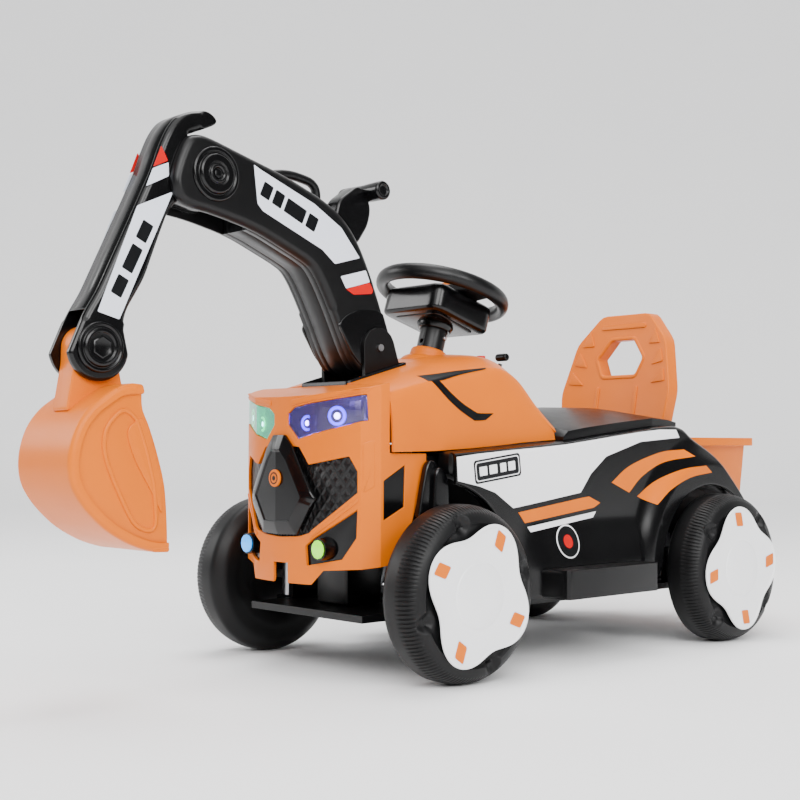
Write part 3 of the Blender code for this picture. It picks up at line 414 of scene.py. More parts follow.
@dataclass(frozen=True)
class Finish:
    """A surface: its colour with slow blotches, a fine grain in the height, and roughness that wanders.

    Attributes:
        name: Material and making.
        colour: Main colour, sRGB hex.
        shade: The colour of its faint blotches.
        roughness: Middle of the roughness.
        wander: How far the roughness goes each way.
        grain: Size of the mould's grain, metres.
        depth: Height of the grain, metres.
        blotch: Size of the colour's blotches, metres.
        metallic: 1 for metal.
        ior: Refractive index.
        coat: Strength of a clear gloss over it.
        glow: Strength of its own light.
        clear: How much light passes through.
        streak: Stretch of the grain along y, for brushed or drawn surfaces.
        specular: Share of the mirror reflection, 0.5 for a plain surface.
    """

    name: str
    colour: str
    shade: str
    roughness: float = 0.35
    wander: float = 0.06
    grain: float = 0.0007
    depth: float = 0.00002
    blotch: float = 0.045
    metallic: float = 0.0
    ior: float = 1.5
    coat: float = 0.0
    glow: float = 0.0
    clear: float = 0.0
    streak: float = 1.0
    specular: float = 0.5

    def material(self) -> bpy.types.Material:
        """The material, made once and then shared."""
        made = bpy.data.materials.get(self.name)
        if made:
            return made
        made = bpy.data.materials.new(self.name)
        made.use_nodes = True
        tree = made.node_tree
        shader = tree.nodes["Principled BSDF"]
        place = add_node(tree, "ShaderNodeTexCoord", {}, {}).outputs["Object"]
        self.surface(tree, shader, place)
        shader.inputs["Metallic"].default_value = self.metallic
        if not self.metallic:
            shader.inputs["IOR"].default_value = self.ior
        shader.inputs["Coat Weight"].default_value = self.coat
        shader.inputs["Coat Roughness"].default_value = 0.12
        shader.inputs["Specular IOR Level"].default_value = self.specular
        shader.inputs["Transmission Weight"].default_value = self.clear
        if self.glow:
            shader.inputs["Emission Color"].default_value = linear(self.colour)
            shader.inputs["Emission Strength"].default_value = self.glow
        return made

    def surface(self, tree: bpy.types.NodeTree, shader: bpy.types.Node,
                place: bpy.types.NodeSocket) -> None:
        """Colour blotches, wandering roughness and grain, all from noise in the piece's own coordinates."""
        slow = add_node(tree, "ShaderNodeTexNoise", {"Scale": 1 / self.blotch, "Detail": 3.0},
                        {"Vector": place})
        ramp = add_node(
            tree, "ShaderNodeMix", {"data_type": "RGBA"}, {"Factor": slow.outputs["Fac"]}
        )
        ramp.inputs[6].default_value, ramp.inputs[7].default_value = linear(self.colour), linear(self.shade)
        tree.links.new(ramp.outputs[2], shader.inputs["Base Color"])
        patchy = add_node(
            tree, "ShaderNodeTexNoise", {"Scale": 2.3 / self.blotch, "Detail": 5.0, "Roughness": 0.65},
            {"Vector": place}
        )
        rough = add_node(
            tree,
            "ShaderNodeMapRange",
            {"To Min": max(self.roughness - self.wander, 0.02), "To Max": self.roughness + self.wander},
            {"Value": patchy.outputs["Fac"]},
        )
        tree.links.new(rough.outputs["Result"], shader.inputs["Roughness"])
        stretched = add_node(tree, "ShaderNodeMapping", {"Scale": (1.0, 1 / self.streak, 1.0)},
                             {"Vector": place})
        fine = add_node(
            tree, "ShaderNodeTexNoise", {"Scale": 1 / self.grain, "Detail": 2.0},
            {"Vector": stretched.outputs[0]}
        )
        bump = add_node(
            tree, "ShaderNodeBump", {"Strength": 0.6, "Distance": self.depth},
            {"Height": fine.outputs["Fac"]}
        )
        tree.links.new(bump.outputs["Normal"], shader.inputs["Normal"])


@dataclass(frozen=True)
class HexMesh(Finish):
    """A moulded grille whose honeycomb cells are pressed into the surface.

    Attributes:
        cell: Width of a cell, metres.
    """

    cell: float = 0.0072

    def surface(self, tree: bpy.types.NodeTree, shader: bpy.types.Node,
                place: bpy.types.NodeSocket) -> None:
        """Cells from the distance to the edges of a regular honeycomb, over the plain plastic's grain."""
        super().surface(tree, shader, place)
        flat = add_node(tree, "ShaderNodeMapping",
                        {"Scale": (1.0, 0.0, 0.62), "Rotation": (0.0, 0.785, 0.0)}, {"Vector": place})
        cells = add_node(
            tree,
            "ShaderNodeTexVoronoi",
            {"Scale": 1 / self.cell, "Randomness": 0.0, "feature": "DISTANCE_TO_EDGE"},
            {"Vector": flat.outputs[0]},
        )
        wall = add_node(
            tree, "ShaderNodeMapRange", {"From Max": 0.30, "To Min": 1.0, "To Max": 0.0},
            {"Value": cells.outputs["Distance"]}
        )
        bump = add_node(
            tree, "ShaderNodeBump", {"Strength": 1.0, "Distance": 0.0009},
            {"Height": wall.outputs["Result"]}
        )
        tree.links.new(bump.outputs["Normal"], shader.inputs["Normal"])


# Polypropylene, injection moulded: bright even orange with a soft gloss and the faintest orange peel.
ORANGE = Finish("polypropylene_moulded_orange", "#DC6E00", "#D36600", 0.34, 0.05, 0.0016, 0.000018, 0.06,
                ior=1.49, specular=0.16)
# The same resin blown thick for the seat back: a little softer in its gloss.
ORANGE_SOFT = Finish("polypropylene_blown_orange", "#D86A00", "#CF6200", 0.40, 0.06, 0.0014, 0.00003, 0.05,
                     ior=1.49, specular=0.2)
# High-density polyethylene, blow moulded black: waxy, satin, with a pebbled mould skin.
BLACK = Finish("polyethylene_blown_black", "#060607", "#09090A", 0.34, 0.07, 0.0011, 0.00003, 0.05,
               ior=1.54, specular=0.25)
# ABS, polished mould: deep black with sharp highlights.
BLACK_GLOSS = Finish("abs_polished_black", "#050506", "#070708", 0.20, 0.04, 0.0018, 0.000012, 0.06,
                     ior=1.54, specular=0.3)
# Wheels: matt black with a coarser grain, scuffed lighter in patches.
WHEEL_BLACK = Finish("polyethylene_wheel_black", "#060607", "#0B0B0C", 0.44, 0.09, 0.0010, 0.00006, 0.03,
                     ior=1.54, specular=0.22)
# ABS covers: white with a faint cool shade.
WHITE = Finish("abs_moulded_white", "#F8F8F9", "#F0F1F3", 0.30, 0.05, 0.0014, 0.000015, 0.06, ior=1.54,
               coat=0.2)
# Vinyl film, printed: smooth and semi-gloss, a little paler than the plastic it sticks to.
FILM_WHITE = Finish("vinyl_film_white", "#FAFAFB", "#F2F2F5", 0.34, 0.04, 0.0009, 0.000008, 0.08, ior=1.52)
FILM_PALE = Finish("vinyl_film_pale_grey", "#E4E8F2", "#D9DEEA", 0.30, 0.04, 0.0009, 0.000008, 0.05,
                   ior=1.52)
FILM_RED = Finish("vinyl_film_red", "#C80C0C", "#BE080A", 0.32, 0.04, 0.0009, 0.000008, 0.04, ior=1.52,
                  specular=0.25)
FILM_ORANGE = Finish("vinyl_film_orange", "#DC6E00", "#D36600", 0.33, 0.04, 0.0009, 0.000008, 0.04,
                     ior=1.52, specular=0.16)
FILM_DARK = Finish("vinyl_film_ink", "#040507", "#07080B", 0.34, 0.05, 0.0009, 0.000008, 0.04, ior=1.52,
                   specular=0.25)
# Zinc-plated steel, drawn bar: grey metal with fine lines.
ZINC = Finish("zinc_plated_steel", "#BDBEC0", "#A9ABAF", 0.30, 0.08, 0.0004, 0.00001, 0.012, metallic=1.0,
              streak=6.0)
# Vacuum-metallised reflector.
MIRROR = Finish("metallised_reflector", "#D4D6DE", "#C3C6D2", 0.12, 0.04, 0.0009, 0.00004, 0.008,
                metallic=1.0)
# Nylon and potted cases inside the body.
CASE = Finish("nylon_case_dark", "#26272B", "#1E1F22", 0.55, 0.08, 0.0006, 0.00004, 0.02, ior=1.53)
GRILLE = HexMesh("abs_honeycomb_black", "#060607", "#0A0A0B", 0.34, 0.06, 0.0011, 0.00002, 0.03, ior=1.54,
                 specular=0.3)


# ---------------------------------------------------------------- pieces


def add_piece(
    name: str,
    skin: Skin,
    finish: Finish,
    body: str,
    replaces: tuple[str, ...] = (),
    crease: float = 32.0,
) -> bpy.types.Object:
    """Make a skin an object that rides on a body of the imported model.

    Args:
        name: The piece's name.
        skin: Its points and faces, in vehicle coordinates.
        finish: Its material.
        body: The body that it moves with.
        replaces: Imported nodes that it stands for.
        crease: Edges sharper than this angle, in degrees, stay sharp.

    Returns:
        The object.
    """
    mesh = bpy.data.meshes.new(name)
    mesh.from_pydata((skin.points + SHIFT).tolist(), [], skin.faces)
    work = bmesh.new()
    work.from_mesh(mesh)
    bmesh.ops.remove_doubles(work, verts=work.verts, dist=MERGE_DISTANCE)
    bmesh.ops.recalc_face_normals(work, faces=work.faces)
    work.to_mesh(mesh)
    work.free()
    return link_piece(name, mesh, finish, body, replaces, crease)


def link_piece(
    name: str,
    mesh: bpy.types.Mesh,
    finish: Finish,
    body: str,
    replaces: tuple[str, ...] = (),
    crease: float = 32.0,
) -> bpy.types.Object:
    """Shade a mesh, give it its finish and let it ride on a body."""
    mesh.shade_smooth()
    mesh.set_sharp_from_angle(angle=math.radians(crease))
    mesh.materials.clear()
    mesh.materials.append(finish.material())
    piece = bpy.data.objects.new(name, mesh)
    bpy.context.scene.collection.objects.link(piece)
    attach(piece, body)
    if replaces:
        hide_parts(*replaces)
    return piece


def rounded_copy(node: str, finish: Finish, body: str, width: float,
                 steps: int = 3) -> bpy.types.Object:
    """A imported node's shape with its facets joined and its edges rounded.

    Args:
        node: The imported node, which the copy stands for.
        finish: The material.
        body: The body that it rides on.
        width: Width of the rounding, metres.
        steps: Faces across the rounding.

    Returns:
        The object.
    """
    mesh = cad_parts[node].data.copy()
    work = bmesh.new()
    work.from_mesh(mesh)
    bmesh.ops.remove_doubles(work, verts=work.verts, dist=MERGE_DISTANCE)
    bmesh.ops.dissolve_limit(work, angle_limit=math.radians(1.0), verts=work.verts, edges=work.edges)
    work.to_mesh(mesh)
    work.free()
    piece = link_piece(node + "_finished", mesh, finish, body, (node,), 34.0)
    edge = piece.modifiers.new("rounded_edges", "BEVEL")
    edge.width = width
    edge.segments = steps
    edge.limit_method = "ANGLE"
    edge.angle_limit = math.radians(28)
    edge.use_clamp_overlap = True
    return piece


def dress(node: str, finish: Finish) -> None:
    """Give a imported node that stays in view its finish."""
    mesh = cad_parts[node].data
    mesh.materials.clear()
    mesh.materials.append(finish.material())


def shell(front: np.ndarray, back: np.ndarray, keep: np.ndarray | None = None) -> Skin:
    """Two facing grids joined along every open edge of the squares that are kept.

    Args:
        front: Outer grid, rows by columns by x, y, z.
        back: Inner grid of the same size.
        keep: Which squares exist; all of them when left out.

    Returns:
        A closed skin.
    """
    rows, columns = front.shape[:2]
    r, c = np.meshgrid(np.arange(rows - 1), np.arange(columns - 1), indexing="ij")
    squares = np.stack([r * columns + c, r * columns + c + 1, (r + 1) * columns + c + 1, (r + 1) * columns
                        + c], -1)
    squares = squares.reshape(-1, 4) if keep is None else squares[keep]
    count = rows * columns
    edges = np.concatenate([squares[:, [i, (i + 1) % 4]] for i in range(4)])
    code, reverse = edges[:, 0] * count + edges[:, 1], edges[:, 1] * count + edges[:, 0]
    rim = edges[~np.isin(code, reverse)]
    walls = np.stack([rim[:, 1], rim[:, 0], rim[:, 0] + count, rim[:, 1] + count], -1)
    points = np.concatenate([front.reshape(-1, 3), back.reshape(-1, 3)])
    used = np.concatenate([squares, squares[:, ::-1] + count, walls])
    names, index = np.unique(used, return_inverse=True)
    return Skin(points[names], index.reshape(-1, 4).tolist())


def clung(points: np.ndarray, target: bpy.types.Object, axis: Axis, sign: int) -> np.ndarray:
    """Points moved along an axis until they meet a target's surface.

    Args:
        points: A grid of points outside the target, in vehicle coordinates.
        target: The object that they land on.
        axis: The axis of the move.
        sign: +1 where the points come from the axis's far end.

    Returns:
        The landed grid; points that meet nothing stay at the mean depth of the others.
    """
    flat = points.reshape(-1, 3) + SHIFT
    mesh = bpy.data.meshes.new("landing")
    mesh.from_pydata(flat.tolist(), [], [])
    work = bpy.data.objects.new("landing", mesh)
    bpy.context.scene.collection.objects.link(work)
    step = work.modifiers.new("land", "SHRINKWRAP")
    step.wrap_method = "PROJECT"
    for letter in "xyz":
        setattr(step, "use_project_" + letter, axis.name.lower() == letter)
    step.use_negative_direction = sign > 0
    step.use_positive_direction = sign < 0
    step.target = target
    bpy.context.view_layer.update()
    landed_mesh = work.evaluated_get(bpy.context.evaluated_depsgraph_get()).data
    landed = np.empty(len(flat) * 3, np.float32)
    landed_mesh.vertices.foreach_get("co", landed)
    landed = landed.reshape(-1, 3).astype(float)
    bpy.data.objects.remove(work)
    index = "XYZ".index(axis.name)
    missed = np.abs(landed[:, index] - flat[:, index]) < 1e-9
    if missed.any() and not missed.all():
        landed[missed, index] = landed[~missed, index].mean()
    return (landed - SHIFT).reshape(points.shape)


@dataclass(frozen=True)
class Film:
    """A printed film between two lines, laid on a target.

    Attributes:
        name: The piece's name.
        first: One long edge, as (u, v) points seen along the axis.
        second: The other long edge, in the same direction.
        finish: The film's material.
        lift: How far it stands above the surface.
        slot: The record's slot; not used.
        columns: Points along it.
        rows: Points across it.
        straight: Whether the edges keep their corners.
    """

    name: str
    first: tuple
    second: tuple
    finish: Finish
    lift: float = 0.0003
    slot: Slot = Slot.WHITE
    columns: int = 90
    rows: int = 14
    straight: bool = False

    def lay(self, target: bpy.types.Object, axis: Axis = Axis.X, side: int = 1, start: float = 0.3,
            depth: float = 0.0002) -> None:
        """Lay the film on a target, coming from start along the axis."""
        lines = []
        for edge in (self.first, self.second):
            corners = np.asarray(edge, float)
            lines.append(resampled(corners if self.straight else smooth(corners, 8), self.columns))
        share = np.linspace(0, 1, self.rows)[:, None, None]
        middle = lines[0][None] * (1 - share) + lines[1][None] * share
        along = np.full(middle.shape[:2], start)
        index = "XYZ".index(axis.name)
        grid = axis.place(middle[..., 0], middle[..., 1], along)
        sign = 1 if start > 0 else -1
        landed = clung(grid, target, axis, sign)
        outer, inner = landed.copy(), landed.copy()
        outer[..., index] += sign * self.lift
        inner[..., index] -= sign * depth
        skin = shell(outer, inner).on_side(side)
        add_piece(self.name, skin, self.finish, "root", (), 40)


# ---------------------------------------------------------------- wheels


@dataclass
class Wheel:
    """A blown wheel with its four-lobed cover.

    Attributes:
        name: Position name, such as front_left.
        side: +1 on the vehicle's left.
        axle: The axle's y and z.
        phase: Turn of the first lobe, degrees.
        radius: Tyre radius.
        inner: |x| of the inner side.
        outer: |x| of the outer side.
        face: |x| of the cover's flat face.
    """

    name: str
    side: int
    axle: tuple[float, float]
    phase: float
    radius: float = 0.094
    inner: float = 0.1398
    outer: float = 0.1968
    face: float = 0.2008
    columns: int = 1008
    groove_count: int = 126

    def profile(self) -> np.ndarray:
        """The tyre's section from hub to hub, as (x, radius)."""
        r, a, b = self.radius, self.inner, self.outer
        corners = [
            (a + 0.012, 0.0), (a + 0.012, 0.036), (a + 0.004, 0.050), (a, 0.064), (a + 0.002, 0.081),
            (a + 0.012, r - 0.0005), (a + 0.028, r), (b - 0.023, r), (b - 0.012, r - 0.0025),
            (b - 0.0035, r - 0.0085),
            (b - 0.0003, 0.0765), (b - 0.0003, 0.0745), (b - 0.0030, 0.0735), (b - 0.0034, 0.060),
            (b - 0.0034, 0.0),
        ]
        curve = rounded(corners, 0.004, 6, closed=False)
        return resampled(curve, 76)

    def build(self) -> None:
        """Tyre and cover."""
        self.tyre()
        self.cover()

    def tyre(self) -> None:
        """The profile turned round the axle, its radius lowered in short cross grooves and its outer face
        pushed in at four round dimples.

        Radius: r(s) minus 1.5 mm times a raised cosine of the turn times a band in x on the shoulder.
        Outer face: x minus 2.2 mm times a smooth step of the distance to each dimple's centre.
        """
        section = self.profile()
        x, r = section[:, 0][:, None], section[:, 1][:, None]
        turn = np.linspace(0, 2 * np.pi, self.columns, endpoint=False)[None, :]
        wave = ease((np.cos(self.groove_count * turn) - 0.35) / 0.5)
        band = ease((x - (self.outer - 0.024)) / 0.003) * ease(((self.outer - 0.0045) - x) / 0.003)
        worn = r - 0.0014 * wave * band * (r > 0.08)
        plane_y, plane_z = worn * np.cos(turn), worn * np.sin(turn)
        depth = np.zeros_like(plane_y)
        for quarter in range(4):
            at = math.radians(self.phase + 45 + 90 * quarter)
            away = np.hypot(plane_y - 0.0765 * math.cos(at), plane_z - 0.0765 * math.sin(at))
            depth = np.maximum(depth, ease((0.0128 - away) / 0.0095))
        inwards = (x > self.outer - 0.016) * depth * 0.0060
        points = np.stack([x - inwards, self.axle[0] + plane_y, self.axle[1] + plane_z], -1)
        name = "wheel_" + self.name
        add_piece(name + "_tyre", Skin.grid(points).on_side(self.side), WHEEL_BLACK, name,
                  (name,), 50)

    def lobe_radius(self, turn: np.ndarray) -> np.ndarray:
        """The cover's edge: 71.5 mm plus 8.5 mm times the cosine of four times the turn, flattened."""
        wave = np.cos(4 * (turn - math.radians(self.phase)))
        return 0.0712 + 0.0082 * (wave - 0.12 * wave**2)

    def cover(self) -> None:
        """A domed cover inside a thin raised rim, with a flat rayed hub and an orange mark on each lobe.

        Height over the turn t and share s of the edge radius: the face falls 1.6 mm from the rim to a ring at
        s = 0.55, where a step of 0.7 mm marks the hub.
        """
        turn = np.linspace(0, 2 * np.pi, 384, endpoint=False)[None, :]
        edge = self.lobe_radius(turn)
        low = self.outer + 0.0006
        rows = [
            (0.0, low), (0.970, low), (0.992, low + 0.0006), (1.0, low + 0.0016),
            (0.994, self.face - 0.0003),
            (0.982, self.face), (0.962, self.face), (0.952, self.face - 0.0003),
            (0.945, self.face - 0.0010),
            (0.930, self.face - 0.0012), (0.80, self.face - 0.0014), (0.62, self.face - 0.0017),
            (0.50, self.face - 0.0018), (0.492, self.face - 0.0018), (0.482, self.face - 0.0012),
            (0.470, self.face - 0.0009), (0.30, self.face - 0.0008), (0.14, self.face - 0.0007),
            (0.0, self.face - 0.0007),
        ]
        share = np.array([row[0] for row in rows])[:, None]
        height = np.array([row[1] for row in rows])[:, None]
        swing = np.abs(np.cos(2 * (turn - math.radians(self.phase)))) - 0.6
        facet = 0.0011 * swing * ease((share - 0.5) / 0.2) * ease((0.94 - share) / 0.05)
        facet = facet * (np.arange(len(rows))[:, None] > 5)
        radial = np.where(share < 0.55, share * 0.0712, share * edge)
        points = np.stack(
            [
                height + facet,
                self.axle[0] + radial * np.cos(turn),
                self.axle[1] + radial * np.sin(turn),
            ],
            -1,
        )
        body, node = "wheel_" + self.name, "wheel_cover_" + self.name
        skin = Skin.grid(points).on_side(self.side)
        add_piece(node + "_moulded", skin, WHITE, body, (node,), 24)
        for quarter in range(4):
            self.mark(quarter, body)

    def mark(self, quarter: int, body: str) -> None:
        """A pale-edged orange patch inset in a lobe."""
        at = math.radians(self.phase + 90 * quarter)
        across, out = np.array([-math.sin(at), math.cos(at)]), np.array([math.cos(at), math.sin(at)])
        corners = 1.35 * np.array([(-0.0062, -0.0072), (0.0044, -0.0060), (0.0062, 0.0072),
                                   (-0.0044, 0.0060)])
        for label, finish, grow, lift in (("border", FILM_PALE, 0.0014, 0.0),
                                          ("patch", FILM_ORANGE, 0.0, 0.00012)):
            outline = rounded(inset(corners, -grow), 0.0026, 5)
            ground = np.array(self.axle) + out * 0.0625 + outline[:, :1] * across + outline[:, 1:] * out
            skin = plate(ground, self.face - 0.0011 + lift, self.face - 0.00085 + lift, 0.00008, Axis.X, 1)
            name = f"wheel_{self.name}_mark_{quarter}_{label}"
            add_piece(name, skin.on_side(self.side), finish, body)


@dataclass
class RunningGear:
    """Four wheels and the metal between them."""

    front_phase: float = 62.0
    rear_phase: float = 6.0

    def build(self) -> None:
        """Wheels, frame, axle and steering parts."""
        for side, word in SIDES:
            Wheel("front_" + word, side, (0.0, 0.094), self.front_phase).build()
            Wheel("rear_" + word, side, (0.477, 0.094), self.rear_phase).build()
            rounded_copy("steering_knuckle_" + word, ZINC, "knuckle_" + word, 0.0006)
            dress("kingpin_" + word, ZINC)
        rounded_copy("chassis_frame", BLACK, "root", 0.0012)
        rounded_copy("tie_rod", ZINC, "tie_rod", 0.0005)
        dress("rear_axle", ZINC)
        rounded_copy("battery", CASE, "root", 0.0015)
        rounded_copy("motor_gearbox", CASE, "root", 0.0012)


# ---------------------------------------------------------------- digging arm


def decal(name: str, outline: Points, x: float, side: int, body: str, finish: Finish, lift: float,
          axis: Axis = Axis.X) -> None:
    """A printed film on a flat side: a thin plate that stands lift above the surface at x."""
    shape = rounded(np.asarray(outline, float), 0.0016, 4)
    skin = plate(shape, x - 0.0002, x + lift, min(lift / 2, 0.00008), axis, 1)
    add_piece(name, skin.on_side(side), finish, body)


def band_blocks(start: Sequence[float], end: Sequence[float], height: float,
                shares: Points) -> list[np.ndarray]:
    """Blocks on a line, as generic marks: each share pair says where on the line a block starts and ends."""
    a, b = np.array(start, float), np.array(end, float)
    along = (b - a) / np.linalg.norm(b - a)
    up = np.array([-along[1], along[0]]) * height / 2
    blocks = []
    for s, e in shares:
        p, q = a + (b - a) * s, a + (b - a) * e
        blocks.append(np.array([p - up, q - up, q + up, p + up]))
    return blocks


@dataclass
class Boom:
    """The lower arm with its foot, elbow joint, handle and control lever."""

    half: float = 0.033
    slot: float = 0.0229
    notch_half: float = 0.0135
    elbow: tuple[float, float] = (-0.217, 0.528)
    top: tuple = (
        (-0.2680, 0.512), (-0.263, 0.534), (-0.252, 0.560), (-0.243, 0.5665), (-0.227, 0.568),
        (-0.172, 0.553),
        (-0.123, 0.540), (-0.071, 0.521), (-0.045, 0.506), (-0.023, 0.483), (-0.004, 0.448),
        (0.013, 0.407), (0.030, 0.363),
    )
    under: tuple = (
        (0.0285, 0.347), (0.016, 0.333), (-0.003, 0.3275), (-0.022, 0.333), (-0.034, 0.349),
        (-0.041, 0.361), (-0.063, 0.406),
        (-0.084, 0.442), (-0.100, 0.451), (-0.162, 0.476), (-0.217, 0.488), (-0.256, 0.492),
    )

    def build(self) -> None:
        """Arm, sleeve, rings, bolts, prints, handle and lever."""
        self.arm()
        self.foot()
        self.elbow_joint()
        self.prints()
        self.handle()
        self.lever()

    def arm(self) -> None:
        """Two cheeks with a wide rounded outer rim, a core between them behind the dipper's slot, and in its
        middle a notch for the lever."""
        outline = resampled(rounded(self.top + self.under, 0.020, 7), 300, closed=True)
        edge = np.where(outline[:, 1] < 0.40, 0.0050, 0.0085)
        skin = plate(outline, self.slot, self.half, edge, Axis.X, 8, 0.0004)
        core = beyond(outline, 0, self.elbow[0] + 0.0475)
        skin += plate(core, self.notch_half, self.slot, 0.00001, Axis.X, 1)
        skin += skin.mirrored()
        notch = np.array([(-0.0600, 0.5120), (-0.0550, 0.4560), (-0.0060, 0.4310), (0.0010, 0.4400)])
        upper = (core[:, 1] > 0.43) & (core[:, 0] > -0.061) & (core[:, 0] < 0.0015) & (core[:, 1] > 0.44
                - core[:, 0] * 0.9)
        first = int(np.argmax(upper))
        kept = np.roll(core, -first, 0)
        kept = kept[~np.roll(upper, -first)]
        path = notch if kept[-1, 0] < kept[0, 0] else notch[::-1]
        skin += plate(np.concatenate([path, kept]), -self.notch_half, self.notch_half, 0.00001, Axis.X, 1)
        add_piece("boom_moulded", skin, BLACK, "boom", ("boom",), 50)

    def foot(self) -> None:
        """A raised glossy black step on each cheek over the arm's foot."""
        for side, word in SIDES:
            step = [(-0.054, 0.384), (-0.042, 0.395), (-0.023, 0.402), (-0.004, 0.404), (0.008, 0.402),
                    (0.014, 0.392),
                    (0.022, 0.372), (0.0265, 0.352), (0.014, 0.338), (-0.003, 0.333), (-0.020, 0.338),
                    (-0.034, 0.352)]
            skin = plate(rounded(step, 0.007, 6), self.half - 0.002, self.half + 0.0016, 0.0012, Axis.X, 4)
            add_piece("boom_foot_step_" + word, skin.on_side(side), BLACK_GLOSS, "boom")

    def elbow_joint(self) -> None:
        """On each side two round steps, a groove, rings and a six-sided screw recess."""
        for node, side in (("elbow_pin", 1), ("elbow_cap", -1)):
            x = self.half
            profile = [
                (x - 0.002, 0.0), (x - 0.002, 0.0283), (x + 0.0008, 0.0285), (x + 0.0022, 0.0279),
                (x + 0.0029, 0.0265),
                (x + 0.0029, 0.0238), (x + 0.0018, 0.0229), (x + 0.0018, 0.0214), (x + 0.0042, 0.0204),
                (x + 0.0052, 0.0190),
                (x + 0.0054, 0.0125), (x + 0.0042, 0.0115), (x + 0.0042, 0.0104), (x + 0.0058, 0.0096),
                (x + 0.0062, 0.0075),
                (x + 0.0050, 0.0060), (x + 0.0036, 0.0056), (x + 0.0036, 0.0),
            ]
            centre = (0.0, *self.elbow)
            skin = turned(rounded(profile, 0.0006, 3, closed=False), centre, (1, 0, 0), 96)
            hexagon = polar(self.elbow, 0.0048, 30, 330, 5)
            skin += plate(hexagon, x + 0.003, x + 0.0052, 0.0004, Axis.X, 2)
            add_piece(node + "_turned", skin.on_side(side), BLACK_GLOSS, "boom", (node,), 30)

    def prints(self) -> None:
        """Printed films on both cheeks: a pale panel with a generic row of bars, a white and a red band."""
        panel = [(-0.169, 0.545), (-0.161, 0.541), (-0.087, 0.513), (-0.049, 0.491), (-0.022, 0.460),
                 (-0.058, 0.450),
                 (-0.076, 0.464), (-0.157, 0.497), (-0.164, 0.504)]
        white = [(-0.050, 0.437), (-0.013, 0.447), (-0.007, 0.434), (-0.042, 0.424)]
        red = [(-0.042, 0.4235), (-0.007, 0.4335), (-0.002, 0.425), (-0.004, 0.421), (-0.031, 0.418)]
        for side, word in SIDES:
            x = self.half
            decal("boom_panel_edge_" + word, inset(np.array(panel), -0.0012), x, side, "boom", FILM_DARK,
                  0.00010)
            decal("boom_panel_" + word, panel, x, side, "boom", FILM_PALE, 0.00020)
            decal("boom_band_white_" + word, white, x, side, "boom", FILM_PALE, 0.00020)
            decal("boom_band_red_" + word, red, x, side, "boom", FILM_RED, 0.00020)
            bars = band_blocks((-0.158, 0.5215), (-0.066, 0.4815), 0.0165,
                               ((0, 0.13), (0.17, 0.30), (0.34, 0.62), (0.66, 0.80)))
            for count, bar in enumerate(bars):
                decal(f"boom_mark_{word}_{count}", bar, x, side, "boom", FILM_DARK, 0.00030)

    def handle(self) -> None:
        """The grab handle's bent bar on top of the arm."""
        route = smooth(
            [(-0.022, -0.1185, 0.524), (-0.022, -0.1165, 0.536), (-0.022, -0.110, 0.5465),
             (-0.022, -0.100, 0.5520),
             (-0.022, -0.080, 0.5542), (-0.022, -0.060, 0.5520), (-0.022, -0.048, 0.5485),
             (-0.022, -0.0415, 0.540),
             (-0.022, -0.0415, 0.524), (-0.022, -0.0445, 0.508)], 8)
        add_piece("grab_handle_moulded", hose(route, 0.0052, 24), BLACK, "boom",
                  ("grab_handle",), 60)

    def lever(self) -> None:
        """The driver's lever: a wedge up from the arm and a T-grip with eight-sided recessed ends."""
        wedge = [(-0.006, 0.480), (0.010, 0.503), (0.0145, 0.522), (0.0075, 0.542), (-0.006, 0.548),
                 (-0.034, 0.528),
                 (-0.042, 0.500), (-0.030, 0.470)]
        skin = plate(resampled(rounded(wedge, 0.008, 6), 90, closed=True), -0.0118, 0.0118, 0.0034, Axis.X,
                     6)
        grip_y, grip_z, size, reach = 0.012, 0.541, 0.0110, 0.0358
        profile = [
            (-reach + 0.0016, 0.0), (-reach + 0.0016, size * 0.52), (-reach, size * 0.60),
            (-reach, size * 0.84),
            (-reach + 0.0018, size), (-0.016, size * 0.97), (0.0, size * 0.92), (0.016, size * 0.97),
            (reach - 0.0018, size),
            (reach, size * 0.84), (reach, size * 0.60), (reach - 0.0016, size * 0.52),
            (reach - 0.0016, 0.0),
        ]
        skin += turned(rounded(profile, 0.0012, 4, closed=False), (0, grip_y, grip_z), (1, 0, 0), 64)
        add_piece("control_lever_moulded", skin, BLACK_GLOSS, "lever", ("control_lever",), 40)


